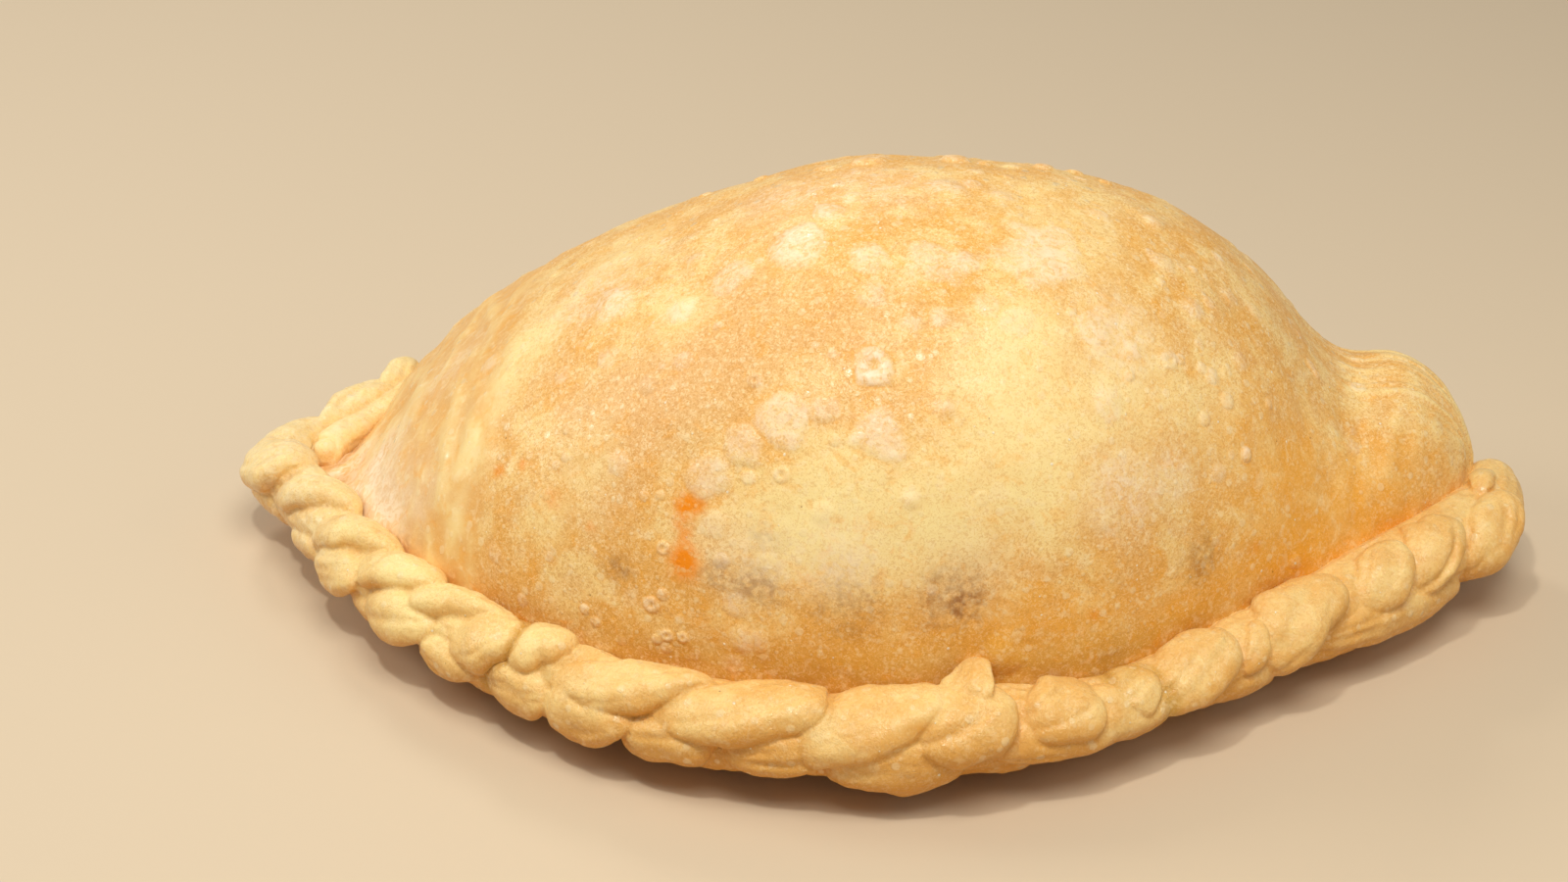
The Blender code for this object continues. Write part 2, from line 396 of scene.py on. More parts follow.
def settle_neighbours(piece: bpy.types.Object, values: np.ndarray, rounds: int) -> np.ndarray:
    """Average the values of each vertex with those of its neighbours.

    Args:
        piece: The object.
        values: The vertices' values, one row each.
        rounds: How often they are averaged.

    Returns:
        The settled values.
    """
    edges = np.empty(2 * len(piece.data.edges), dtype=np.int32)
    piece.data.edges.foreach_get("vertices", edges)
    near, far = edges.reshape(-1, 2).T
    size = len(piece.data.vertices)
    count = np.bincount(near, minlength=size) + np.bincount(far, minlength=size)
    columns = values.reshape(size, -1)
    for _ in range(rounds):
        total = np.empty_like(columns)
        for i in range(columns.shape[1]):
            total[:, i] = np.bincount(near, columns[far, i], size)
            total[:, i] += np.bincount(far, columns[near, i], size)
        columns = 0.5 * columns + 0.5 * total / count[:, None]
    return columns.reshape(values.shape)


# ---- finishes ------------------------------------------------------------------------------------

Colour = tuple[float, float, float]
Socket = bpy.types.NodeSocket


def linear(red: int, green: int, blue: int) -> Colour:
    """A display colour from 0 to 255 as the light that it stands for."""
    return tuple(((c / 255 + 0.055) / 1.055) ** 2.4 for c in (red, green, blue))


class Graph:
    """A material's nodes, added one by one."""

    def __init__(self, name: str) -> None:
        """Start a material with its Principled shader.

        Args:
            name: The material's name.
        """
        self.material = bpy.data.materials.new(name)
        self.material.use_nodes = True
        self.nodes = self.material.node_tree.nodes
        self.shader = self.nodes["Principled BSDF"]
        self.place = self.add("ShaderNodeTexCoord").outputs["Object"]

    def add(self, kind: str, inputs: dict | None = None, **settings: object) -> bpy.types.Node:
        """Add a node.

        Args:
            kind: The node's type.
            inputs: What each input holds or is linked from, by its name or number.
            settings: The node's own settings.

        Returns:
            The node.
        """
        node = self.nodes.new(kind)
        for key, value in settings.items():
            setattr(node, key, value)
        for key, value in (inputs or {}).items():
            self.feed(node.inputs[key], value)
        return node

    def feed(self, socket: Socket, value: object) -> None:
        """Link the value's socket to this one, or keep the value in it.

        Args:
            socket: The input.
            value: A socket, a number or a colour.
        """
        if isinstance(value, bpy.types.NodeSocket):
            self.material.node_tree.links.new(value, socket)
        elif isinstance(value, tuple) and len(value) == 3 and socket.type == "RGBA":
            socket.default_value = (*value, 1.0)
        else:
            socket.default_value = value

    def math(self, operation: str, first: object, second: object = 0.0) -> Socket:
        """Work out one number from two."""
        node = self.add("ShaderNodeMath", {0: first, 1: second}, operation=operation)
        return node.outputs[0]

    def times(self, first: object, second: object) -> Socket:
        """The product of two numbers."""
        return self.math("MULTIPLY", first, second)

    def mask(self, mask: Mask) -> Socket:
        """Read a mask that is painted on the mesh."""
        node = self.add("ShaderNodeAttribute", attribute_name=mask.value)
        return node.outputs["Fac"]

    def step(self, value: Socket, low: float, high: float, to: tuple[float, float] = (0, 1)) -> Socket:
        """A smooth step of the value from low to high."""
        inputs = {0: value, 1: low, 2: high, 3: to[0], 4: to[1]}
        return self.add("ShaderNodeMapRange", inputs, interpolation_type="SMOOTHSTEP").outputs[0]

    def noise(self, size_mm: float, detail: float = 2.0, curl: float = 0.0) -> Socket:
        """Soft noise from 0 to 1 whose lumps have this size, drawn out into curls."""
        inputs = {"Vector": self.place, "Scale": 1 / (size_mm * MM), "Detail": detail, "Distortion": curl}
        return self.add("ShaderNodeTexNoise", inputs).outputs["Fac"]

    def bubbles(self, pitch_mm: float, smallest: float, largest: float) -> Socket:
        """Add round bubbles of random size, one to a cell.

        Args:
            pitch_mm: Size of a cell.
            smallest: Radius of the smallest bubble, as a share of a cell; below 0 some cells stay bare.
            largest: Radius of the largest one.

        Returns:
            The bubbles' height over their foot, as a share of a cell.
        """
        inputs = {"Vector": self.place, "Scale": 1 / (pitch_mm * MM)}
        cell = self.add("ShaderNodeTexVoronoi", inputs)
        draw = self.add("ShaderNodeSeparateColor", {0: cell.outputs["Color"]}).outputs[0]
        radius = self.math("MULTIPLY_ADD", draw, largest - smallest)
        radius.node.inputs[2].default_value = smallest
        away = self.math("DIVIDE", cell.outputs["Distance"], radius)
        inside = self.math("MAXIMUM", self.math("SUBTRACT", 1.0, self.times(away, away)), 0.0)
        return self.times(self.math("SQRT", inside), radius)

    def blend(self, share: object, first: object, second: object) -> Socket:
        """Mix two colours.

        Args:
            share: The share of the second one, from 0 to 1.
            first: The colour where the share is 0.
            second: The colour where it is 1.

        Returns:
            The mixed colour.
        """
        node = self.add("ShaderNodeMix", data_type="RGBA")
        self.feed(node.inputs[0], share)
        self.feed(node.inputs[6], first)
        self.feed(node.inputs[7], second)
        return node.outputs[2]


@dataclass(frozen=True)
class Speckle:
    """Patches of noise with soft edges.

    Attributes:
        size_mm: Size of the patches.
        low: The noise at which a patch starts.
        high: The noise at which it is full.
        outside: What the pattern gives between the patches.
        inside: What it gives inside them.
        detail: How many finer layers the noise has.
        curl: How far the patches are drawn out into curls.
    """

    size_mm: float
    low: float
    high: float
    outside: float = 0.0
    inside: float = 1.0
    detail: float = 4.0
    curl: float = 0.0

    def build(self, graph: Graph) -> Socket:
        """Add the pattern to a material's nodes."""
        noise = graph.noise(self.size_mm, self.detail, self.curl)
        return graph.step(noise, self.low, self.high, (self.outside, self.inside))


THICK_PATCHES = Speckle(11.0, 0.42, 0.62, inside=0.55, curl=0.6)
DULL_PATCHES = Speckle(7.0, 0.46, 0.66, inside=0.45, curl=0.6)
AMBER_PATCHES = Speckle(3.4, 0.52, 0.72, curl=0.8)
PALE_PATCHES = Speckle(2.3, 0.52, 0.70, curl=0.8)
MEMBRANE_MOTTLE = Speckle(1.7, 0.38, 0.60, outside=0.30, curl=1.0)
FILLING_MOTTLE = Speckle(1.6, 0.35, 0.62, outside=0.45, inside=1.25, detail=2.0)
STAIN_MOTTLE = Speckle(1.3, 0.32, 0.52, outside=0.55, inside=1.2, detail=2.0)

# Noise: its size in mm, its detail and its curl.
GRAIN_NOISE = (0.62, 2.0, 1.4)
LUMP_NOISE = (1.4, 2.0, 0.5)
EDGE_NOISE = (3.2, 3.0)
EDGE_BREAK = 3.2  # how far the noise eats into a mask's edge

# Bubbles: their pitch in mm, and the smallest and the largest radius as shares of it.
FINE_BUBBLES = (1.3, 0.05, 0.36)
RING_BUBBLES = (3.1, 0.06, 0.30)
BEADS = (3.3, 0.01, 0.095)
PORES = (6.5, -0.03, 0.035)

# Tones: the height at which each starts and the one at which it is full.
GRAIN_FEET = (0.50, 0.36)
GRAIN_TOPS = (0.53, 0.66)
BUBBLE_TOPS = (0.08, 0.24)
RING_TOPS = (0.02, 0.20)
BEAD_TOPS = (0.015, 0.07)
PORE_TOPS = (0.006, 0.02)
WET_TOPS = (0.0, 0.12)


@dataclass(frozen=True)
class Texture:
    """What the surface's colour and its relief share.

    Attributes:
        rough: How bubbly the dough is, from 0 to 1.
        grain: The finest grain.
        fine: The smallest bubbles.
        rings: Larger and flatter bubbles.
        beads: Small glossy beads.
    """

    rough: Socket
    grain: Socket
    fine: Socket
    rings: Socket
    beads: Socket


@dataclass(frozen=True)
class DoughFinish:
    """Fried dough: translucent, finely bubbled and filmed with oil.

    Attributes:
        name: The material's name.
        base: The dough's colour.
        cream: Where it is thick and stayed pale, and painted highlight on the rope's crests.
        tan: Where it is thin and dull.
        gold_and_shade: Golden dough, and painted shade low down and in the creases.
        membrane: Over the blisters, and the painted highlight on their rims.
        grey: Where the skin is thinnest.
        filling: Shadow of the filling.
        stain: Coloured oil.
        crease: Painted shade where two parts meet.
        fleck: The tops of the smallest bubbles.
        pit: The dough between them.
        spark: Painted glints on the beads.
        pore: The pores.
        fleck_share: How strongly the flecks show.
        ring_share: How much the larger bubbles pale.
        glint_share: How strongly the beads' painted glints show.
        pore_share: How strongly the pores show.
        mottle: How strongly patches a few mm across show.
        golden_smooth: How smooth the golden dough is.
        least_rough: The share of the relief that stays where the dough is smooth.
        lump_mm: Relief of lumps about a millimetre across.
        grain_mm: Relief of the finest grain.
        bubble_mm: Relief of the small bubbles, for each mm of a cell.
        ring_relief: Relief of the larger bubbles, as a share of the small ones'.
        bead_relief: Relief of the beads, as a share of the small bubbles'.
        roughness: Roughness under the oil.
        unevenness: How far the roughness goes up and down in patches.
        patch_mm: The size of those patches.
        oil: Weight of the film of oil.
        ring_wet: How wet the larger bubbles are.
        oil_roughness: Roughness of the oil.
        oil_ior: How strongly the oil bends light.
        specular: How much the dough itself reflects.
        subsurface: How much light passes through the dough.
        light_mm: How far that light goes.
        light_spread: How far red, green and blue light go, as shares of it.
    """

    name: str
    base: Colour
    cream: Colour
    tan: Colour
    gold_and_shade: Colour
    membrane: Colour
    grey: Colour = linear(236, 204, 160)
    filling: Colour = linear(134, 74, 32)
    stain: Colour = linear(244, 142, 0)
    # painted shade where two parts meet
    crease: Colour = linear(212, 166, 78)
    fleck: Colour = linear(255, 231, 180)
    pit: Colour = linear(204, 138, 52)
    # painted glints on the beads
    spark: Colour = linear(255, 242, 212)
    pore: Colour = linear(130, 76, 24)
    fleck_share: float = 0.46
    ring_share: float = 0.35
    glint_share: float = 0.85
    pore_share: float = 0.6
    mottle: float = 0.36
    golden_smooth: float = 0.5
    least_rough: float = 0.35
    lump_mm: float = 0.10
    grain_mm: float = 0.08
    bubble_mm: float = 0.20
    ring_relief: float = 1.1
    bead_relief: float = 5.0
    roughness: float = 0.52
    unevenness: float = 0.08
    patch_mm: float = 5.0
    oil: float = 0.15
    ring_wet: float = 0.4
    oil_roughness: float = 0.14
    oil_ior: float = 1.46
    specular: float = 0.3
    subsurface: float = 0.12
    light_mm: float = 0.9
    light_spread: tuple[float, float, float] = (1.0, 0.97, 0.9)

    def build(self) -> bpy.types.Material:
        """Make the material.

        Returns:
            The material, which reads the masks and the place on the object.
        """
        graph = Graph(self.name)
        golden = graph.times(graph.mask(Mask.GOLD_AND_SHADE), self.golden_smooth)
        smooth = graph.math("MAXIMUM", graph.mask(Mask.SMOOTH), golden)
        texture = Texture(
            rough=graph.math("SUBTRACT", 1.0, smooth),
            grain=graph.noise(*GRAIN_NOISE),
            fine=graph.bubbles(*FINE_BUBBLES),
            rings=graph.bubbles(*RING_BUBBLES),
            beads=graph.bubbles(*BEADS),
        )
        colour = self._tone(graph)
        colour = self._flecks(graph, colour, texture)
        colour = self._marks(graph, colour)
        graph.feed(graph.shader.inputs["Base Color"], colour)
        self._relief(graph, texture)
        self._gloss(graph, texture)
        return graph.material

    def _tone(self, graph: Graph) -> Socket:
        """Mix the dough's colour in soft patches, with the painted shade and highlight that the masks
        hold.

        Args:
            graph: The material's nodes.

        Returns:
            The colour.
        """
        colour = graph.blend(THICK_PATCHES.build(graph), self.base, self.cream)
        colour = graph.blend(DULL_PATCHES.build(graph), colour, self.tan)
        # The gold also lays painted shade, and the cream painted highlight on the rope's crests.
        shades = {Mask.TAN: self.tan, Mask.GREY: self.grey, Mask.CREAM_AND_HIGHLIGHT: self.cream, Mask.GOLD_AND_SHADE: self.gold_and_shade}
        for mask, shade in shades.items():
            colour = graph.blend(self._broken(graph, mask), colour, shade)
        # Painted shade in the creases and along the seam.
        colour = graph.blend(graph.mask(Mask.CREASE), colour, self.crease)
        for patches, shade in ((AMBER_PATCHES, self.gold_and_shade), (PALE_PATCHES, self.fleck)):
            share = graph.times(patches.build(graph), self.mottle)
            colour = graph.blend(share, colour, shade)
        return colour

    def _broken(self, graph: Graph, mask: Mask) -> Socket:
        """Read a mask and break up its edge with noise.

        Args:
            graph: The material's nodes.
            mask: Which mask.

        Returns:
            The mask's value, about 0 to 1.
        """
        noise = graph.math("SUBTRACT", graph.noise(*EDGE_NOISE), 0.5)
        value = graph.mask(mask)
        room = graph.times(graph.times(value, graph.math("SUBTRACT", 1.0, value)), EDGE_BREAK)
        return graph.math("ADD", value, graph.times(noise, room))

    def _flecks(self, graph: Graph, colour: Socket, texture: Texture) -> Socket:
        """Pale the tops of the small bubbles, darken their feet and the pores, and paint glints on the
        beads.

        Args:
            graph: The material's nodes.
            colour: The colour so far.
            texture: The bubbles and the grain.

        Returns:
            The colour with its flecks.
        """
        feet = graph.times(graph.step(texture.grain, *GRAIN_FEET), texture.rough)
        colour = graph.blend(graph.times(feet, self.fleck_share), colour, self.pit)
        tops = graph.step(texture.grain, *GRAIN_TOPS)
        tops = graph.math("MAXIMUM", tops, graph.step(texture.fine, *BUBBLE_TOPS))
        tops = graph.times(tops, texture.rough)
        pores = graph.bubbles(*PORES)
        for share, strength, shade in (
            (tops, self.fleck_share, self.fleck),
            (graph.step(texture.rings, *RING_TOPS), self.ring_share, self.fleck),
            # The beads get painted glints.
            (graph.step(texture.beads, *BEAD_TOPS), self.glint_share, self.spark),
            (graph.step(pores, *PORE_TOPS), self.pore_share, self.pore),
        ):
            colour = graph.blend(graph.times(share, strength), colour, shade)
        return colour

    def _marks(self, graph: Graph, colour: Socket) -> Socket:
        """Lay on the blisters' skins with their painted rim highlights, the filling's shadow and the
        stains.

        Args:
            graph: The material's nodes.
            colour: The colour so far.

        Returns:
            The finished colour.
        """
        for share, mottle, shade in (
            (self._broken(graph, Mask.MEMBRANE), MEMBRANE_MOTTLE, self.membrane),
            (self._broken(graph, Mask.FILLING), FILLING_MOTTLE, self.filling),
            (graph.mask(Mask.STAIN), STAIN_MOTTLE, self.stain),
        ):
            colour = graph.blend(graph.times(share, mottle.build(graph)), colour, shade)
        return colour

    def _relief(self, graph: Graph, texture: Texture) -> None:
        """Give the surface its bump, worked out in mm.

        Args:
            graph: The material's nodes.
            texture: The bubbles and the grain.
        """
        grain = graph.times(texture.grain, self.grain_mm)
        height = graph.math("ADD", grain, graph.times(texture.fine, self.bubble_mm))
        height = graph.math("ADD", height, graph.times(graph.noise(*LUMP_NOISE), self.lump_mm))
        height = graph.times(height, graph.math("MAXIMUM", texture.rough, self.least_rough))
        rings = graph.times(texture.rings, self.ring_relief * self.bubble_mm)
        beads = graph.times(texture.beads, self.bead_relief * self.bubble_mm)
        height = graph.math("ADD", graph.math("ADD", height, rings), beads)
        bump = graph.add("ShaderNodeBump", {"Strength": 1.0, "Distance": MM, "Height": height})
        graph.feed(graph.shader.inputs["Normal"], bump.outputs[0])
        graph.feed(graph.shader.inputs["Coat Normal"], bump.outputs[0])

    def _gloss(self, graph: Graph, texture: Texture) -> None:
        """Set the roughness, the oil and the light that passes through the dough.

        Args:
            graph: The material's nodes.
            texture: The bubbles, whose tops are wet.
        """
        shader = graph.shader.inputs
        rougher = self.roughness + self.unevenness
        smoother = self.roughness - self.unevenness
        patches = Speckle(self.patch_mm, 0.3, 0.7, rougher, smoother, detail=2.0)
        graph.feed(shader["Roughness"], patches.build(graph))
        wet = graph.math("MAXIMUM", graph.times(texture.rings, self.ring_wet), texture.beads)
        graph.feed(shader["Coat Weight"], graph.step(wet, *WET_TOPS, to=(self.oil, 1.0)))
        shader["Specular IOR Level"].default_value = self.specular
        shader["Coat Roughness"].default_value = self.oil_roughness
        shader["Coat IOR"].default_value = self.oil_ior
        shader["Subsurface Weight"].default_value = self.subsurface
        shader["Subsurface Radius"].default_value = self.light_spread
        shader["Subsurface Scale"].default_value = self.light_mm * MM


SKIN_FINISH = DoughFinish(
    name="blistered_skin",
    base=linear(237, 181, 94),
    cream=linear(255, 232, 164),
    tan=linear(231, 181, 114),
    gold_and_shade=linear(246, 170, 40),
    membrane=linear(255, 236, 206),
)
ROPE_FINISH = DoughFinish(
    name="rope_dough",
    base=linear(237, 182, 97),
    cream=linear(255, 226, 154),
    tan=linear(230, 169, 78),
    gold_and_shade=linear(224, 157, 60),
    membrane=linear(255, 240, 206),
    fleck_share=0.34,
    mottle=0.24,
    lump_mm=0.30,
    grain_mm=0.30,
    bubble_mm=0.26,
    roughness=0.46,
    oil=0.30,
    subsurface=0.22,
)


# ---- the puffed skin -----------------------------------------------------------------------------


@dataclass(frozen=True)
class HalfMoon:
    """The form of the puffed body: sections across X, from end to end.

    Attributes:
        end: How far the body reaches to each side of the middle.
        closing: How late the sections close towards the ends.
        seam_to_body: How far behind the rope's centre line the skin starts.
        crest: The crest's height, as rows of X and Z.
        back_fold: The fold at the back in plan, as rows of X and Y.
        front_level: How high the body is widest at the front, under a very high crest.
        back_level: The same at the back.
        dome_fullness: How full a section is over its widest place; 2 is an ellipse.
        belly_fullness: The same under it.
        belly_sag: How far the belly would reach under the floor that presses it flat.
        end_lift: How far the underside lifts at the ends.
        lift_power: How late it lifts.
    """

    end: float = 12.1
    closing: float = 30.0
    seam_to_body: float = 0.55
    crest: tuple = (
        (-12.1, 1.2),
        (-11.2, 1.25),
        (-10.5, 1.55),
        (-9.6, 2.6),
        (-8.5, 3.9),
        (-6.5, 5.7),
        (-4.0, 7.2),
        (-1.0, 8.5),
        (1.5, 8.7),
        (4.0, 8.3),
        (6.0, 7.4),
        (7.5, 6.2),
        (8.6, 4.8),
        (9.4, 4.1),
        (10.4, 4.1),
        (11.2, 3.8),
        (12.1, 3.1),
    )
    back_fold: tuple = (
        (-12.1, 0.0),
        (-11.2, 1.1),
        (-10.6, 2.1),
        (-10.2, 3.1),
        (-9.7, 3.9),
        (-8.0, 4.5),
        (-5.0, 4.9),
        (0.0, 5.0),
        (5.0, 4.9),
        (8.0, 4.5),
        (10.0, 3.9),
        (11.2, 3.0),
        (12.1, 1.9),
    )
    front_level: float = 1.95
    back_level: float = 3.70
    dome_fullness: float = 2.15
    belly_fullness: float = 3.0
    belly_sag: float = 0.12
    end_lift: float = 0.5
    lift_power: float = 6.0

    def section(self, x: np.ndarray, angle: np.ndarray, seam: np.ndarray) -> np.ndarray:
        """Points of the body.

        Args:
            x: Place along the body.
            angle: Turn round the section, from the front foot over the crest, in radians.
            seam: The rope's centre line in plan, as rows of X and Y.

        Returns:
            The points, with X, Y and Z on the last axis.
        """
        front = np.interp(x, seam[:, 0], seam[:, 1]) + self.seam_to_body
        back = along_x(self.back_fold, x)
        crest = along_x(self.crest, x)
        closing = np.sqrt(np.maximum(1 - np.abs(x / self.end) ** self.closing, 0))
        across = -np.cos(angle)
        height = np.sin(angle)
        half = 0.5 * (back - front) * closing
        y = 0.5 * (front + back) + half * signed_power(across, 2 / self.dome_fullness)
        level = self.front_level + (self.back_level - self.front_level) * (0.5 + 0.5 * across)
        widest = level * crest / (level + crest)
        lift = self.end_lift * np.abs(x / self.end) ** self.lift_power
        dome = widest + (crest - widest) * closing * np.abs(height) ** (2 / self.dome_fullness)
        floor = lift - self.belly_sag
        belly = widest - (widest - floor) * closing * np.abs(height) ** (2 / self.belly_fullness)
        z = np.where(height >= 0, dome, np.maximum(belly, 0.0))
        return np.stack([x + 0 * y, y, z], axis=-1)


class Shape(Enum):
    """How a blister rises from the skin."""

    SWELLING = "swelling"  # soft all over
    CAP = "cap"  # round, with a clear foot
    CUSHION = "cushion"  # low and flat, with a steep rim
    RING = "ring"  # with a sunken middle


# How high each shape stands, as a share of the height that is asked for.
STANDING = {Shape.SWELLING: 1.0, Shape.CAP: 0.60, Shape.CUSHION: 0.45, Shape.RING: 0.65}
CAP_FOOT = (0.0, 0.45)  # where a cap's foot starts and ends, as 1 less the squared distance
CUSHION_STEEPNESS = 4
CUSHION_DOME = 0.2  # how much of a cushion's height is domed
RING_DIP = 0.95  # how deep a ring's middle sinks, as a share of its height
RING_DIP_RADIUS = 0.40

# Where a blister's tones start and are full, as shares of its radius, and how strong they are.
SKIN_EDGE = (1.12, 0.57)
SWELLING_EDGE = (1.0, 0.4)
RING_MIDDLE = (0.15, 0.4)
# A pale ring of painted highlight runs along each blister's rim.
RIM_RADIUS = 0.88
RIM_WIDTH = 0.10
SKIN_PALE = 0.72
RIM_HIGHLIGHT = 0.16
RING_SKIN_PALE = 0.9
RING_RIM_HIGHLIGHT = 0.3


@dataclass(frozen=True)
class Blister:
    """A blister on the skin.

    Attributes:
        x: Place along the body.
        turn: Turn round the section in degrees, 0 at the front foot and 90 at the crest.
        radius: Its radius.
        height: Its height.
        pale: How much its skin pales, from 0 to 1.
        shape: How it rises.
    """

    x: float
    turn: float
    radius: float
    height: float
    pale: float
    shape: Shape = Shape.CAP

    def rise(self, away: np.ndarray) -> np.ndarray:
        """Work out the blister's height.

        Args:
            away: Distances from its middle, as shares of the radius.

        Returns:
            The height at each distance.
        """
        inside = np.clip(1 - away**2, 0, 1)
        top = STANDING[self.shape] * self.height
        if self.shape is Shape.SWELLING:
            return top * inside**2
        if self.shape is Shape.CUSHION:
            flat = 1 - (1 - inside) ** CUSHION_STEEPNESS
            return top * flat * (1 - CUSHION_DOME + CUSHION_DOME * inside)
        if self.shape is Shape.RING:
            return top * (np.sqrt(inside) - RING_DIP * np.exp(-((away / RING_DIP_RADIUS) ** 2)))
        return top * np.sqrt(inside) * ease(inside, *CAP_FOOT)

    def paleness(self, away: np.ndarray) -> np.ndarray:
        """Work out how pale the blister's skin is, with a painted highlight on its rim.

        Args:
            away: Distances from its middle, as shares of the radius.

        Returns:
            The paleness at each distance.
        """
        if self.shape is Shape.SWELLING:
            return self.pale * ease(away, *SWELLING_EDGE)
        # A pale ring of painted highlight on the rim.
        rim = np.exp(-(((away - RIM_RADIUS) / RIM_WIDTH) ** 2))
        skin = ease(away, *SKIN_EDGE)
        if self.shape is Shape.RING:
            skin *= ease(away, *RING_MIDDLE)
            return self.pale * (RING_SKIN_PALE * skin + RING_RIM_HIGHLIGHT * rim)
        return self.pale * (SKIN_PALE * skin + RIM_HIGHLIGHT * rim)


@dataclass(frozen=True)
class Patch:
    """A soft patch of one mask on the skin.

    Attributes:
        mask: What it paints.
        x: Place along the body.
        turn: Turn round the section in degrees, 0 at the front foot and 90 at the crest.
        radius: Its radius.
        strength: How strong it is in its middle, from 0 to 1.
        wide: How much longer it is along the body than across it.
    """

    mask: Mask
    x: float
    turn: float
    radius: float
    strength: float = 1.0
    wide: float = 1.0


BLISTERS = (
    Blister(-1.1, 76, 0.60, 0.13, 0.85, Shape.CUSHION),
    Blister(-4.6, 75, 0.66, 0.12, 0.50, Shape.SWELLING),
    Blister(-3.2, 67, 0.40, 0.06, 0.45, Shape.SWELLING),
    Blister(-2.2, 73, 0.42, 0.07, 0.50, Shape.CUSHION),
    Blister(-0.6, 84, 0.30, 0.07, 0.60, Shape.CUSHION),
    Blister(0.2, 72, 0.38, 0.08, 0.60, Shape.CUSHION),
    Blister(0.3, 64, 0.28, 0.06, 0.45),
    Blister(1.4, 71, 0.50, 0.07, 0.55, Shape.CUSHION),
    Blister(1.9, 72, 0.38, 0.06, 0.55, Shape.SWELLING),
    Blister(0.5, 51, 0.33, 0.12, 0.85, Shape.RING),
    Blister(-1.6, 50, 0.15, 0.07, 0.30, Shape.RING),
    Blister(-1.1, 43, 0.47, 0.09, 0.75, Shape.CUSHION),
    Blister(-0.3, 44, 0.28, 0.06, 0.45),
    Blister(-1.7, 39, 0.40, 0.10, 0.50, Shape.CUSHION),
    Blister(0.7, 40, 0.44, 0.09, 0.70, Shape.CUSHION),
    Blister(1.8, 44, 0.28, 0.05, 0.35, Shape.SWELLING),
    Blister(-4.5, 61, 0.26, 0.05, 0.35),
    Blister(-3.6, 53, 0.22, 0.05, 0.25),
    Blister(-2.4, 62, 0.11, 0.05, 0.40),
    Blister(1.1, 59, 0.30, 0.04, 0.40, Shape.SWELLING),
    Blister(1.6, 60, 0.26, 0.04, 0.40, Shape.SWELLING),
    Blister(1.4, 91, 0.50, 0.07, 0.35, Shape.SWELLING),
    Blister(-0.1, 105, 0.38, 0.16, 0.35),
    Blister(1.5, 108, 0.30, 0.14, 0.35),
    Blister(-1.0, 104, 0.22, 0.09, 0.25),
    Blister(-2.3, 112, 0.17, 0.08, 0.25),
    Blister(-3.4, 112, 0.17, 0.08, 0.25),
    Blister(3.4, 75, 0.78, 0.12, 0.75, Shape.CUSHION),
    Blister(2.5, 90, 0.36, 0.06, 0.30, Shape.SWELLING),
    Blister(2.4, 63, 0.28, 0.05, 0.35),
    Blister(2.9, 60, 0.28, 0.06, 0.45, Shape.CUSHION),
    Blister(4.3, 60, 0.34, 0.07, 0.45, Shape.CUSHION),
    Blister(4.3, 90, 0.26, 0.06, 0.40),
    Blister(5.3, 93, 0.30, 0.06, 0.30, Shape.SWELLING),
    Blister(5.5, 81, 0.26, 0.06, 0.40),
    Blister(6.1, 82, 0.12, 0.06, 0.60),
    Blister(5.5, 75, 0.11, 0.05, 0.50),
    Blister(3.9, 63, 0.11, 0.05, 0.50),
    Blister(6.1, 70, 0.36, 0.06, 0.40, Shape.SWELLING),
    Blister(6.8, 79, 0.22, 0.06, 0.30),
    Blister(7.3, 79, 0.20, 0.06, 0.30),
    Blister(5.7, 56, 0.20, 0.09, 0.45, Shape.RING),
    Blister(5.9, 57, 0.11, 0.06, 0.45, Shape.RING),
    Blister(5.0, 52, 0.13, 0.06, 0.40),
    Blister(6.3, 56, 0.13, 0.06, 0.50),
    Blister(6.5, 55, 0.18, 0.09, 0.60),
    Blister(7.0, 61, 0.22, 0.06, 0.30),
    Blister(6.8, 50, 0.15, 0.07, 0.35),
    Blister(4.6, 46, 0.48, 0.05, 0.35, Shape.SWELLING),
    Blister(7.2, 39, 0.17, 0.09, 0.70),
    Blister(6.4, 45, 0.15, 0.06, 0.35),
    Blister(7.6, 53, 0.12, 0.06, 0.40),
    Blister(8.6, 78, 0.12, 0.06, 0.40),
    Blister(2.1, 108, 0.18, 0.09, 0.30),
    Blister(2.6, 108, 0.18, 0.08, 0.30),
    Blister(3.2, 112, 0.23, 0.12, 0.35),
    Blister(3.8, 113, 0.20, 0.10, 0.30),
    Blister(4.4, 110, 0.16, 0.09, 0.30),
    Blister(-2.3, 35, 0.45, 0.10, 0.55, Shape.CUSHION),
    Blister(-1.6, 34, 0.15, 0.06, 0.40),
    Blister(-1.0, 34, 0.15, 0.06, 0.30, Shape.RING),
    Blister(-0.1, 39, 0.11, 0.05, 0.40),
    Blister(-3.5, 32, 0.11, 0.05, 0.35),
    Blister(-3.2, 32, 0.11, 0.05, 0.35),
    Blister(-3.1, 23, 0.13, 0.07, 0.30, Shape.RING),
    Blister(-5.1, 40, 0.12, 0.05, 0.35),
    Blister(1.3, 30, 0.22, 0.05, 0.35, Shape.SWELLING),
    Blister(-2.2, 27, 0.26, 0.05, 0.30),
    Blister(-3.3, 13, 0.16, 0.09, 0.45, Shape.RING),
    Blister(-3.1, 15, 0.13, 0.07, 0.35),
    Blister(-3.0, 8, 0.13, 0.08, 0.50, Shape.RING),
    Blister(-2.7, 8, 0.12, 0.08, 0.50, Shape.RING),
    Blister(-3.2, 7, 0.11, 0.06, 0.45),
    Blister(-1.7, 14, 0.24, 0.07, 0.40),
    Blister(-1.6, 9, 0.26, 0.06, 0.45),
    Blister(-1.3, 9, 0.18, 0.06, 0.45),
    Blister(2.95, 6, 0.50, 0.16, 0.00, Shape.SWELLING),
    Blister(-4.4, 8, 0.11, 0.06, 0.50),
    Blister(-4.6, 10, 0.12, 0.06, 0.50),
)

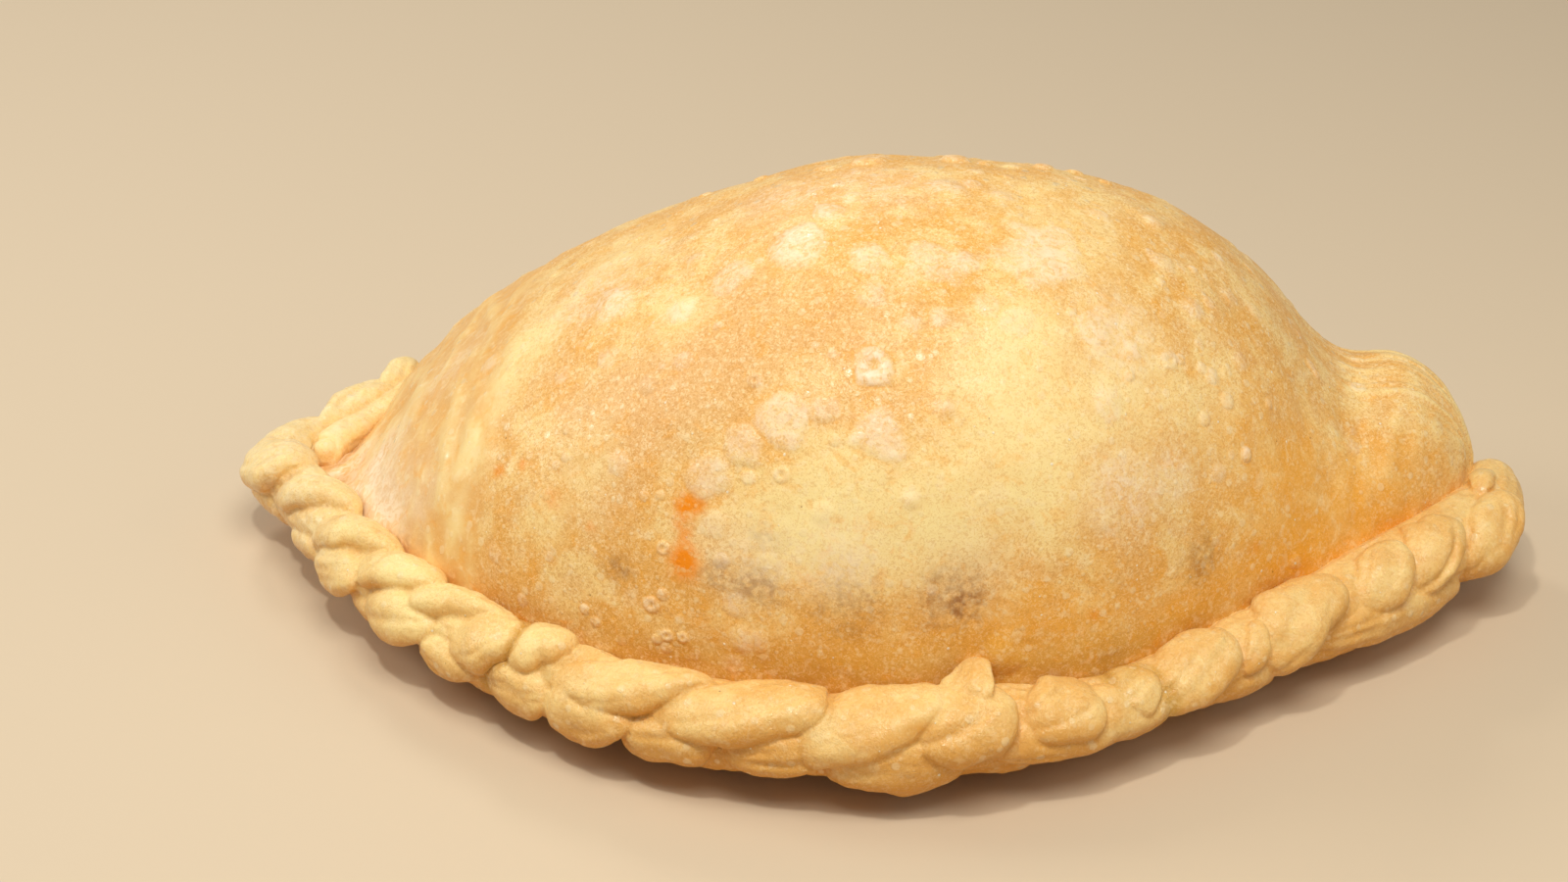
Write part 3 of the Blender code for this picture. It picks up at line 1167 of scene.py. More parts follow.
PATCH_ROWS = {
    Mask.CREAM_AND_HIGHLIGHT: (
        (-0.4, 26, 1.4, 0.97, 1.3),
        (-0.1, 34, 0.8, 0.55),
        (-3.2, 67, 0.7, 0.60, 1.3),
        (-4.7, 92, 1.1, 0.60),
        (-7.2, 45, 0.7, 0.75, 0.6),
        (-6.7, 60, 0.8, 0.75, 0.6),
        (-6.2, 72, 0.9, 0.75),
        (-7.4, 25, 0.6, 0.65, 0.5),
        (3.1, 58, 1.0, 0.75),
        (3.1, 44, 1.3, 0.85),
        (3.5, 32, 1.3, 0.70),
        (1.6, 28, 1.5, 0.85),
        (-4.6, 39, 0.7, 0.50),
        (-5.4, 27, 0.6, 0.60),
        (3.6, 84, 1.6, 0.45),
        (4.8, 57, 1.2, 0.55),
        (4.9, 44, 1.1, 0.50),
        (6.4, 46, 1.3, 0.35),
    ),
    Mask.TAN: (
        (-2.0, 66, 1.2, 0.75),
        (-1.8, 55, 1.4, 0.80),
        (-3.1, 49, 1.5, 0.85),
        (-4.4, 50, 1.3, 0.70),
        (-0.1, 59, 1.1, 0.65),
        (-4.2, 33, 1.0, 0.65),
        (0.8, 34, 0.7, 0.35),
        (5.6, 36, 1.2, 0.20),
    ),
    Mask.MEMBRANE: (
        (-9.9, 40, 1.3, 1.00),
        (-9.3, 22, 1.1, 0.95),
        (-10.6, 80, 0.9, 0.60),
        (-9.4, 62, 0.8, 0.35),
        (-8.2, 82, 0.9, 0.30),
        (-5.2, 80, 1.1, 0.30),
        (-1.6, 92, 1.0, 0.30),
        (0.3, 91, 1.2, 0.28),
        (4.7, 60, 0.9, 0.40),
        (5.0, 31, 0.8, 0.50),
        (5.9, 34, 0.6, 0.35),
        (0.1, 21, 0.8, 0.40),
        (-1.3, 21, 0.7, 0.30),
    ),
    Mask.GREY: (
        (-9.6, 30, 1.4, 0.75),
        (-8.4, 34, 0.9, 0.60),
        (2.2, 20, 1.0, 0.75),
        (-1.8, 22, 0.9, 0.45),
    ),
    Mask.FILLING: (
        (2.1, 15, 0.75, 0.34),
        (2.35, 14, 0.28, 0.36),
        (0.3, 14, 0.75, 0.26),
        (-1.2, 24, 0.40, 0.14),
        (-1.95, 18.6, 0.38, 0.32, 1.6),
        (-1.25, 16.5, 0.36, 0.28, 1.5),
        (-3.95, 18.6, 0.34, 0.32),
        (6.5, 17, 0.50, 0.30),
        (-8.6, 14, 0.4, 0.15),
    ),
    Mask.STAIN: (
        (-2.7, 30, 0.25, 0.95),
        (-2.45, 30, 0.14, 0.60),
        (-2.8, 27, 0.14, 0.50),
        (-2.7, 25, 0.24, 0.55, 0.6),
        (-2.7, 20.8, 0.36, 1.00, 0.9),
        (-5.3, 31, 0.22, 0.35),
        (-4.5, 26, 0.12, 0.30),
        (-6.5, 38, 0.13, 0.60),
        (-6.0, 39, 0.13, 0.50, 0.7),
        (4.6, 11, 0.10, 0.45),
        (7.5, 18, 0.16, 0.30),
    ),
}
PATCHES = tuple(Patch(mask, *row) for mask, rows in PATCH_ROWS.items() for row in rows)


@dataclass(frozen=True)
class Zone:
    """A part of the skin with soft borders, each given by where it starts and where it is full.

    Attributes:
        x: Borders along the body.
        turn: Borders round the section, in degrees.
    """

    x: tuple[tuple[float, float], ...] = ()
    turn: tuple[tuple[float, float], ...] = ()

    def share(self, x: np.ndarray, turn: np.ndarray) -> np.ndarray:
        """Read how far each place lies inside.

        Args:
            x: Places along the body.
            turn: Turns round the section, in degrees.

        Returns:
            A value from 0 outside to 1 inside for each place.
        """
        inside = np.ones(len(x))
        for places, borders in ((x, self.x), (turn, self.turn)):
            for border in borders:
                inside *= ease(places, *border)
        return inside


@dataclass(frozen=True)
class Pleats:
    """Pleats drawn into the skin.

    Attributes:
        zone: Where they are.
        waves: The broad and the fine ones.
        relief: Their height, in cm.
        cream: How much their tops pale.
        cream_from: The height of the waves from which they pale.
        valley: What is painted between them.
        valley_share: How strongly.
        ground: How strongly the same is painted over the whole zone.
        long_way: What a cm along the body and a degree round the section count the long way.
        short_way: What they count across the pleats.
    """

    zone: Zone
    waves: tuple[Lumps, ...]
    relief: float
    cream: float
    cream_from: float = 0.0
    valley: Mask = Mask.TAN
    valley_share: float = 0.0
    ground: float = 0.0
    long_way: tuple[float, float] = (1.0, 0.0)
    short_way: tuple[float, float] = (0.0, 0.02)

    def lay(self, x: np.ndarray, turn: np.ndarray, masks: dict[Mask, np.ndarray]) -> np.ndarray:
        """Paint the pleats.

        Args:
            x: The vertices' places along the body.
            turn: Their turns round the section, in degrees.
            masks: The masks to paint.

        Returns:
            The height that the pleats add at each vertex.
        """
        share = self.zone.share(x, turn)
        ways = [way[0] * x + way[1] * turn for way in (self.long_way, self.short_way)]
        wave = layered(self.waves, np.stack(ways, axis=1))
        masks[Mask.CREAM_AND_HIGHLIGHT] += self.cream * share * ease(wave, self.cream_from, 0.5)
        masks[self.valley] += share * (self.ground + self.valley_share * ease(-wave, 0.0, 0.5))
        return self.relief * share * wave


LEFT_PLEATS = Pleats(
    zone=Zone(x=((-6.0, -7.4),)),
    waves=(Lumps(0.42, 11), Lumps(0.2, 12, 0.5)),
    relief=0.050,
    cream=0.35,
    valley_share=0.25,
    ground=0.30,
)
RIGHT_PLEATS = Pleats(
    zone=Zone(x=((7.2, 9.0),), turn=((84, 59),)),
    waves=(Lumps(0.30, 13), Lumps(0.15, 16, 0.5)),
    relief=0.030,
    cream=0.2,
    cream_from=0.05,
    valley=Mask.GOLD_AND_SHADE,
    valley_share=0.12,
)
REAR_PLEATS = Pleats(
    zone=Zone(x=((8.4, 9.6),), turn=((50, 72),)),
    waves=(Lumps(0.75, 14), Lumps(0.35, 17, 0.5)),
    relief=0.060,
    cream=0.5,
    cream_from=0.1,
    long_way=(0.14, 0.0),
    short_way=(0.35, 0.11),
)

FLANK = Zone(x=((6.0, 8.5), (12.5, 9.0)), turn=((70, 30), (2, 20)))
GOLD_AND_SHADE_ZONES = (
    (Zone(x=((-6.0, 2.0),), turn=((26, 2),)), 0.80),  # the front foot, golden dough and painted shade under the bulge
    (FLANK, 0.66),
    (Zone(turn=((186, 215), (358, 346))), 0.35),  # the underside
)
SMOOTH_ZONES = ((Zone(x=((-6.3, -7.2),)), 0.75), (FLANK, 0.5))


@dataclass(frozen=True)
class Crowd:
    """A place where small blisters crowd.

    Attributes:
        x: Its middle along the body.
        turn: Its middle round the section, in degrees.
        x_reach: How far it reaches along the body.
        turn_reach: How far it reaches round the section, in degrees.
        density: How likely a blister is in its middle, from 0 to 1.
    """

    x: float
    turn: float
    x_reach: float
    turn_reach: float
    density: float

    def at(self, x: float, turn: float) -> float:
        """How likely a blister is at a place, from 0 to 1."""
        along = ((x - self.x) / self.x_reach) ** 2
        return self.density * math.exp(-along - ((turn - self.turn) / self.turn_reach) ** 2)


@dataclass(frozen=True)
class SmallBlisters:
    """The small blisters, drawn at random.

    Attributes:
        count: How many there are.
        seed: Seed of the draws.
        x: From where to where they lie along the body.
        turn: The same round the section, in degrees.
        smallest: Radius of the smallest one.
        spread: How much larger the largest one is.
        steepness: Their height, as a share of the radius.
        ring_share: How many of them are rings.
        pale: How much the skin of the least and of the most pale one pales.
        front: How likely one is in front of the crest, from 0 to 1.
        back: The same behind it.
        crest: Where the back starts, in degrees round the section.
        streaked_from: Where the streaked skin at the left starts.
        streaked: How many of them are left there.
        crowds: Where they crowd.
    """

    count: int = 260
    seed: int = 7
    x: tuple[float, float] = (-9.0, 10.5)
    turn: tuple[float, float] = (4, 175)
    smallest: float = 0.08
    spread: float = 0.14
    steepness: float = 0.22
    ring_share: float = 0.12
    pale: tuple[float, float] = (0.05, 0.5)
    front: float = 0.35
    back: float = 0.8
    crest: float = 95
    streaked_from: float = -6.8
    streaked: float = 0.25
    crowds: tuple[Crowd, ...] = (Crowd(6.5, 62, 2.2, 26, 0.75), Crowd(-2.6, 10, 2.4, 9, 0.85))

    def draw(self) -> list[Blister]:
        """Draw the blisters.

        Returns:
            All of them.
        """
        draw = np.random.default_rng(self.seed)
        drawn = []
        while len(drawn) < self.count:
            x = draw.uniform(*self.x)
            turn = draw.uniform(*self.turn)
            radius = self.smallest + self.spread * draw.random() ** 2
            keep = draw.random()
            shape = Shape.RING if draw.random() < self.ring_share else Shape.CAP
            pale = draw.uniform(*self.pale)
            if keep < self._density(x, turn):
                drawn.append(Blister(x, turn, radius, self.steepness * radius, pale, shape))
        return drawn

    def _density(self, x: float, turn: float) -> float:
        """Work out how likely a blister is.

        Args:
            x: Place along the body.
            turn: Turn round the section, in degrees.

        Returns:
            How likely one is there, from 0 to 1.
        """
        ground = self.back if turn > self.crest else self.front
        left = self.streaked if x < self.streaked_from else 1.0
        return left * max(ground, *(crowd.at(x, turn) for crowd in self.crowds))


@dataclass
class PuffedSkin:
    """The puffed skin of the half moon, with its blisters, streaks and patches.

    Attributes:
        seam: The rope's centre line in plan, where the skin meets it.
        form: The body's form.
        around: Points round a section.
        along: Sections from end to end.
        even: How evenly the sections are spaced; the rest crowds at the ends.
        point_density: How densely the points lie round a section, as rows of degrees and a share.
        fine_radius: The largest blister whose faces are split.
        finest_radius: The largest one whose faces are split once more.
        fine_reach: How far round it they are, as a share of its radius.
        small_blisters: The small blisters.
        pleats: The skin's pleats.
        unevenness: Its broad and fine unevenness.
        outline: How uneven the blisters' outlines are.
        round_radius: The smallest blister whose outline is that uneven.
        blister_reach: How far a blister's tones reach, as a share of its radius.
        blister_rim: Where a golden rim of painted shade lies round it, as a share of its radius.
        rim_width: How wide that rim is, as a share of the radius.
        rim_shade: How strong that painted shade is.
        patch_fall: How fast the patches fade away from their middle.
        patch_edge: How sharp their edges are.
        seam_turn: How far up the painted shade of the crease along the rope reaches, in degrees round the
            section.
        seam_widening: How many degrees it gains with each cm towards the right corner.
        seam_widens_from: Where it starts to.
        seam_shade: How strong the crease's painted shade is.
        gold_mean: How strong the golden zones, with the painted shade at the front foot, are in the mean.
        gold_mottle: How uneven they are.
        cream_smooth: How smooth the thick pale dough is.
        smoothest: How smooth the skin is at most.
        foot: Heights between which the relief fades out towards the floor.
    """

    seam: np.ndarray
    form: HalfMoon = field(default_factory=HalfMoon)
    around: int = 236
    along: int = 224
    even: float = 0.8
    point_density: tuple = ((0, 1), (100, 1), (140, 0.6), (180, 0.5), (200, 0.3), (360, 0.5))
    fine_radius: float = 0.50
    finest_radius: float = 0.17
    fine_reach: float = 1.25
    small_blisters: SmallBlisters = field(default_factory=SmallBlisters)
    pleats: tuple[Pleats, ...] = (LEFT_PLEATS, RIGHT_PLEATS, REAR_PLEATS)
    unevenness: tuple[Lumps, ...] = (
        Lumps(2.6, 1, 0.055),
        Lumps(1.1, 2, 0.028),
        Lumps(0.45, 3, 0.010),
        Lumps(0.22, 4, 0.006),
    )
    outline: tuple[Lumps, ...] = (Lumps(0.65, 5, 0.36), Lumps(0.28, 6, 0.14))
    round_radius: float = 0.3
    blister_reach: float = 1.4
    blister_rim: float = 1.13
    rim_width: float = 0.10
    rim_shade: float = 0.40
    patch_fall: float = 1.3
    patch_edge: float = 1.3
    seam_turn: float = 12
    seam_widening: float = 2.0
    seam_widens_from: float = 7
    seam_shade: float = 0.9
    gold_mean: float = 0.85
    gold_mottle: Lumps = Lumps(1.2, 21, 0.3)
    cream_smooth: float = 0.55
    smoothest: float = 0.9
    foot: tuple[float, float] = (0.05, 0.8)

    def build(self) -> bpy.types.Object:
        """Model the skin.

        Returns:
            The finished piece.
        """
        skin = add_ball("puffed_skin", self.around, self.along)
        x, angle = self._spread(skin)
        move_points(skin, place_in_frame(self.form.section(x, angle, self.seam)))
        layer = skin.data.attributes.new("spread", "FLOAT_VECTOR", "POINT")
        spread = np.stack([x, np.cos(angle), np.sin(angle)], axis=1).astype(np.float32)
        layer.data.foreach_set("vector", spread.ravel())
        blisters = list(BLISTERS) + self.small_blisters.draw()
        self._refine(skin, blisters)
        point_faces_outwards(skin)
        self._read(skin)
        self.masks = {mask: np.zeros(len(self.x)) for mask in Mask}
        height = layered(self.unevenness, self.points)
        for pleats in self.pleats:
            height += pleats.lay(self.x, self.turn, self.masks)
        height += self._raise(blisters)
        for patch in PATCHES:
            self._lay(patch)
        self._shade()
        height *= ease(self.points[:, 2], *self.foot)
        raised = self.points + height[:, None] * self.normals
        raised[:, 2] = np.maximum(raised[:, 2], 0.0)
        move_points(skin, place_in_frame(raised))
        paint(skin, self.masks)
        skin.data.shade_smooth()
        skin.data.materials.append(SKIN_FINISH.build())
        return skin

    def _spread(self, skin: bpy.types.Object) -> tuple[np.ndarray, np.ndarray]:
        """Spread the ball's vertices over the body.

        Args:
            skin: The ball, with its poles on Z.

        Returns:
            The place along X and the turn round the section of each vertex, in radians.
        """
        share, turn = ball_turns(skin)
        middle = self.even * (2 * share - 1) - (1 - self.even) * np.cos(math.pi * share)
        x = self.form.end * middle
        angles = np.linspace(0, 2 * math.pi, TURN_STEPS)
        line = self.form.section(np.zeros_like(angles), angles, self.seam)
        weight = np.interp(np.degrees(angles[1:]), *zip(*self.point_density))
        length = weight * np.linalg.norm(np.diff(line, axis=0), axis=1)
        passed = np.concatenate([[0.0], np.cumsum(length)])
        wanted = (turn / (2 * math.pi) % 1.0) * passed[-1]
        return x, np.interp(wanted, passed, angles)

    def _read(self, skin: bpy.types.Object) -> None:
        """Read where each vertex lies and which way it faces.

        Args:
            skin: The skin.
        """
        self.points = place_in_design(read_points(skin))
        self.normals = read_normals(skin)
        layer = skin.data.attributes["spread"].data
        spread = np.empty(3 * len(self.points))
        layer.foreach_get("vector", spread)
        self.x, across, height = spread.reshape(-1, 3).T
        self.turn = np.degrees(np.arctan2(height, across)) % 360
        self.tree = self._plant()

    def _refine(self, skin: bpy.types.Object, blisters: list[Blister]) -> None:
        """Split the faces under the blisters, and those under the smallest ones once more.

        Args:
            skin: The skin.
            blisters: All the blisters.
        """
        for largest in (self.fine_radius, self.finest_radius):
            self.points = place_in_design(read_points(skin))
            self.tree = self._plant()
            asked = np.zeros(len(self.points), dtype=bool)
            for blister in blisters:
                if blister.radius <= largest:
                    centre = self._spot(blister.x, blister.turn)
                    index, _ = self._near(centre, self.fine_reach * blister.radius)
                    asked[index] = True
            split_faces(skin, asked)

    def _plant(self) -> KDTree:
        """Make a tree that finds the vertices near a point.

        Returns:
            The tree.
        """
        tree = KDTree(len(self.points))
        for i, point in enumerate(self.points):
            tree.insert(point, i)
        tree.balance()
        return tree

    def _spot(self, x: float, turn: float) -> np.ndarray:
        """The point of the body at a place given by x and turn."""
        return self.form.section(np.array(x), np.array(math.radians(turn)), self.seam)

    def _near(self, centre: np.ndarray, radius: float) -> tuple[np.ndarray, np.ndarray]:
        """Find the vertices near a point.

        Args:
            centre: The point.
            radius: How far they may lie from it.

        Returns:
            Their numbers, and how far each lies from the point as a share of the radius.
        """
        found = self.tree.find_range(Vector(centre), radius)
        index = np.array([row[1] for row in found], dtype=int)
        away = np.array([row[2] for row in found]) / radius
        return index, away

    def _raise(self, blisters: list[Blister]) -> np.ndarray:
        """Raise the blisters, pale their skin with a painted highlight on the rim and lay a golden rim of
        painted shade round each.

        Args:
            blisters: What to raise.

        Returns:
            The height that they add at each vertex.
        """
        height = np.zeros(len(self.points))
        broad = layered(self.outline, self.points)
        membrane = self.masks[Mask.MEMBRANE]
        gold_and_shade = self.masks[Mask.GOLD_AND_SHADE]
        for blister in blisters:
            centre = self._spot(blister.x, blister.turn)
            index, away = self._near(centre, self.blister_reach * blister.radius)
            bulge = 1 + min(1.0, blister.radius / self.round_radius) * broad[index]
            away = self.blister_reach * away * bulge
            rise = blister.rise(np.minimum(away, 1))
            height[index] = np.where(rise > 0, np.maximum(height[index], rise), height[index] + rise)
            membrane[index] = np.maximum(membrane[index], blister.paleness(away))
            # A golden rim of painted shade round the blister's foot.
            rim = np.exp(-(((away - self.blister_rim) / self.rim_width) ** 2))
            gold_and_shade[index] = np.maximum(gold_and_shade[index], self.rim_shade * blister.pale * rim)
        return height

    def _lay(self, patch: Patch) -> None:
        """Lay a patch on its mask.

        Args:
            patch: The patch.
        """
        centre = self._spot(patch.x, patch.turn)
        gap = (self.points - centre) / patch.radius
        gap[:, 0] /= patch.wide
        share = patch.strength * np.exp(-self.patch_fall * (gap**2).sum(axis=1) ** self.patch_edge)
        layer = self.masks[patch.mask]
        layer += (1 - layer) * share

    def _shade(self) -> None:
        """Paint what changes slowly over the whole skin, with the painted shade at the front foot and
        along the seam.
        """
        masks = self.masks
        golden = sum(share * zone.share(self.x, self.turn) for zone, share in GOLD_AND_SHADE_ZONES)
        golden = golden * (self.gold_mean + self.gold_mottle.at(self.points))
        masks[Mask.GOLD_AND_SHADE] = np.clip(masks[Mask.GOLD_AND_SHADE] + golden, 0, 1)
        # Painted shade in the crease along the rope.
        width = self.seam_turn + self.seam_widening * np.maximum(self.x - self.seam_widens_from, 0)
        masks[Mask.CREASE] = self.seam_shade * ease(width - self.turn, 0, self.seam_turn)
        smooth = sum(share * zone.share(self.x, self.turn) for zone, share in SMOOTH_ZONES)
        smooth = smooth + self.cream_smooth * masks[Mask.CREAM_AND_HIGHLIGHT]
        masks[Mask.SMOOTH] = np.clip(smooth, 0, self.smoothest)


# ---- the rope ------------------------------------------------------------------------------------


@dataclass(frozen=True)
class Fold:
    """One fold of dough over the rope.

    Attributes:
        path: Its ridge: distance along the rope, angle round it (0 outwards, 90 up), half width.
        thick: Half its thickness.
        rise: How far it stands out of the rope's radius.
        blunt: How blunt its start and its end are; 1 is a point, 2 is round.
        drawn: How deeply it is drawn out in threads, as a share of the rope's own wrinkles.
        lifted: How much further its end stands out than its start.
    """

    path: tuple
    thick: float
    rise: float = 0.0
    blunt: tuple[float, float] = (1.6, 3.4)
    drawn: float = 1.0
    lifted: float = 0.0


FOLDS = (
    Fold(((-4.8, 95, 0.20), (-4.1, 105, 0.28), (-3.1, 135, 0.30)), 0.22, 0.03, (2.4, 3.4)),
    Fold(((-4.1, 50, 0.30), (-2.8, 84, 0.42), (-1.3, 125, 0.40)), 0.32, 0.07),
    Fold(
        ((-4.9, 185, 0.26), (-3.6, 190, 0.38), (-2.2, 195, 0.46), (-1.0, 188, 0.48), (-0.3, 175, 0.40)),
        0.42,
        0.42,
    ),
    Fold(((-0.9, -15, 0.60), (0.5, 50, 0.74), (1.0, 85, 0.66), (1.5, 120, 0.50)), 0.50, 0.02),
    Fold(((1.3, -8, 0.42), (2.1, 60, 0.52), (2.8, 105, 0.46), (3.7, 125, 0.34)), 0.42, 0.05),
    Fold(((2.9, 0, 0.42), (3.9, 58, 0.50), (4.6, 98, 0.42), (5.7, 115, 0.30)), 0.42, 0.04),
    Fold(((3.2, -45, 0.42), (4.3, -12, 0.48), (5.3, 22, 0.36)), 0.38, 0.05),
    Fold(((4.8, 18, 0.46), (5.6, 66, 0.54), (6.4, 92, 0.46), (7.3, 104, 0.30)), 0.44, 0.05),
    Fold(((5.3, -25, 0.44), (6.4, 4, 0.52), (7.6, 28, 0.40)), 0.40, 0.04),
    Fold(((6.2, 18, 0.36), (7.0, 62, 0.44), (7.8, 97, 0.40), (9.4, 98, 0.26)), 0.42, 0.02),
    Fold(((7.6, 0, 0.50), (8.5, 32, 0.60), (9.0, 58, 0.50), (9.5, 92, 0.34)), 0.46, 0.06),
    Fold(((6.9, 5, 0.30), (7.8, -18, 0.36), (8.8, -14, 0.30)), 0.34, 0.02),
    Fold(((8.6, -38, 0.44), (9.6, -18, 0.50), (10.5, 0, 0.36)), 0.38, 0.02),
    Fold(((9.2, 12, 0.44), (9.6, 55, 0.52), (10.0, 88, 0.46), (10.5, 98, 0.36)), 0.44, 0.06),
    Fold(
        ((9.7, 22, 0.46), (10.8, 38, 0.56), (11.8, 56, 0.52), (12.7, 84, 0.38), (13.5, 92, 0.22)),
        0.48,
        0.03,
    ),
    Fold(((9.8, -32, 0.44), (10.9, -18, 0.52), (12.1, 6, 0.36)), 0.42, 0.08),
    Fold(
        ((11.7, 8, 0.44), (12.8, 34, 0.60), (14.0, 56, 0.60), (15.1, 82, 0.54), (15.5, 92, 0.44)),
        0.54,
        0.06,
        drawn=0.6,
    ),
    Fold(((11.4, -30, 0.42), (12.4, -24, 0.50), (13.6, 0, 0.36)), 0.44, 0.02),
    Fold(((13.1, -16, 0.40), (14.4, -10, 0.50), (15.6, -2, 0.36)), 0.42, -0.02),
    Fold(
        ((14.1, 2, 0.54), (15.0, 26, 0.68), (16.1, 52, 0.66), (17.2, 76, 0.50), (17.8, 86, 0.34)),
        0.56,
        0.05,
        drawn=0.3,
    ),
    Fold(((14.9, -38, 0.44), (16.2, -24, 0.58), (17.8, -18, 0.44)), 0.46, 0.12),
    Fold(((16.2, 10, 0.44), (17.1, 25, 0.64), (17.9, 46, 0.72), (18.6, 72, 0.56)), 0.58, 0.14, drawn=0.7),
    Fold(
        ((17.5, 50, 0.50), (17.75, 78, 0.50), (17.95, 104, 0.36), (18.05, 132, 0.14)),
        0.17,
        0.10,
        (1.6, 2.2),
        1.2,
        0.26,
    ),
    Fold(((18.4, 26, 0.50), (19.3, 46, 0.62), (20.2, 74, 0.54)), 0.46, 0.02),
    Fold(((20.0, 16, 0.36), (20.8, 50, 0.46), (21.4, 80, 0.38)), 0.42, -0.04),
    Fold(((17.4, -18, 0.42), (18.7, -6, 0.50), (20.2, 2, 0.46), (21.8, 10, 0.34)), 0.42, 0.00),
    Fold(((20.6, -8, 0.50), (21.8, 34, 0.62), (22.7, 68, 0.54), (23.2, 92, 0.40)), 0.48, 0.02),
    Fold(((22.8, -12, 0.26), (23.5, 35, 0.30), (24.0, 95, 0.18)), 0.36, -0.07, (1.6, 1.6)),
    Fold(((23.3, -20, 0.56), (24.2, 28, 0.72), (25.1, 62, 0.64), (26.0, 94, 0.46)), 0.54, 0.04),
    Fold(((24.4, -28, 0.40), (26.0, -16, 0.50), (27.8, -18, 0.42), (29.0, -26, 0.30)), 0.44, 0.00),
    Fold(((25.6, -4, 0.42), (26.6, 36, 0.56), (27.2, 66, 0.50), (27.5, 94, 0.36)), 0.50, 0.03),
    Fold(((26.8, -8, 0.52), (27.8, 30, 0.64), (28.5, 58, 0.58), (28.9, 92, 0.42)), 0.54, 0.03),
    Fold(((28.7, -30, 0.50), (29.4, 8, 0.60), (30.1, 42, 0.56), (30.4, 82, 0.42)), 0.50, 0.03),
    Fold(((30.0, 80, 0.24), (30.8, 104, 0.28), (31.4, 96, 0.22)), 0.30, -0.06, (1.6, 2.0)),
)


@dataclass(frozen=True)
class Underside:
    """The folds under the rope, which repeat the twist where it isn't seen from above.

    Attributes:
        first: Where the first one starts, as a distance along the rope.
        last: Where the last one may start.
        pitch: How far each starts from the next one.
        length: How long each is along the rope.
        angles: Where each starts and ends round the rope; -90 is straight down.
        half_width: Half its width in the middle.
        end_width: Its width at the ends, as a share of that.
        thick: Half its thickness.
    """

    first: float = -1.2
    last: float = 29.0
    pitch: float = 2.5
    length: float = 2.9
    angles: tuple[float, float] = (-125, -45)
    half_width: float = 0.55
    end_width: float = 0.8
    thick: float = 0.38

    def folds(self) -> list[Fold]:
        """Lay out the folds.

        Returns:
            All the folds under the rope.
        """
        middle = 0.5 * (self.angles[0] + self.angles[1])
        end = self.end_width * self.half_width
        made = []
        for start in np.arange(self.first, self.last, self.pitch):
            path = (
                (start, self.angles[0], end),
                (start + 0.5 * self.length, middle, self.half_width),
                (start + self.length, self.angles[1], end),
            )
            made.append(Fold(path, self.thick))
        return made


@dataclass(frozen=True)
class RopeRoute:
    """The rope's route, from the back left round the left corner to the right corner.

    Attributes:
        rows: Its centre line, as rows of X, Y, height and radius.
    """

    rows: tuple = (
        (-10.2, 4.2, 1.42, 0.27),
        (-10.35, 3.7, 1.40, 0.31),
        (-10.5, 3.1, 1.36, 0.34),
        (-10.8, 2.4, 1.32, 0.38),
        (-11.3, 1.6, 1.30, 0.44),
        (-11.7, 1.0, 1.32, 0.56),
        (-12.0, 0.3, 1.35, 0.72),
        (-12.0, -0.5, 1.40, 0.80),
        (-11.3, -1.4, 1.40, 0.82),
        (-10.3, -2.7, 1.40, 0.82),
        (-8.5, -4.8, 1.40, 0.84),
        (-5.9, -6.7, 1.40, 0.88),
        (-3.0, -8.0, 1.40, 0.92),
        (0.0, -8.35, 1.40, 0.92),
        (2.8, -7.9, 1.45, 0.92),
        (5.1, -6.9, 1.40, 0.74),
        (8.2, -4.2, 1.45, 0.92),
        (11.0, -1.4, 1.50, 1.08),
        (12.2, 0.1, 1.55, 1.00),
        (12.4, 1.7, 1.60, 0.72),
    )

    def curve(self) -> np.ndarray:
        """The smooth centre line, with the radius in the fourth column."""
        return smooth_curve(self.rows)

    def front(self) -> np.ndarray:
        """The part from the left corner to the right one, in plan."""
        curve = self.curve()
        return curve[np.argmin(curve[:, 0]) : np.argmax(curve[:, 0]) + 1, :2]

    def lengths(self) -> np.ndarray:
        """Measure along the rope.

        Returns:
            The distance of each point of the curve from the left corner.
        """
        points = self.curve()[:, :3]
        steps = np.linalg.norm(np.diff(points, axis=0), axis=1)
        lengths = np.concatenate([[0.0], np.cumsum(steps)])
        return lengths - lengths[np.argmin(points[:, 0])]

    def at(self, length: np.ndarray) -> tuple[np.ndarray, np.ndarray, np.ndarray, np.ndarray]:
        """Read the rope.

        Args:
            length: Distances from the left corner.

        Returns:
            Centre, radius, outward and upward direction at each.
        """
        curve = self.curve()
        lengths = self.lengths()
        tangents = np.gradient(curve[:, :3], axis=0)
        tangents /= np.linalg.norm(tangents, axis=1)[:, None]
        read = [np.interp(length, lengths, column) for column in (*curve.T, *tangents.T)]
        centre = np.stack(read[:3], axis=-1)
        along = np.stack(read[4:], axis=-1)
        out = np.stack([along[..., 1], -along[..., 0], 0 * along[..., 0]], axis=-1)
        out /= np.linalg.norm(out, axis=-1, keepdims=True)
        return centre, read[3], out, np.cross(out, along)


@dataclass(frozen=True)
class Stretch:
    """A stretch of the rope that is modelled as one piece and ends in a crease.

    Attributes:
        name: The piece's name.
        first: Where it starts, as a distance along the rope.
        last: Where it ends.
    """

    name: str
    first: float
    last: float

    def holds(self, fold: Fold) -> bool:
        """Whether the fold's middle lies on this stretch."""
        middle = 0.5 * (fold.path[0][0] + fold.path[-1][0])
        return self.first <= middle < self.last


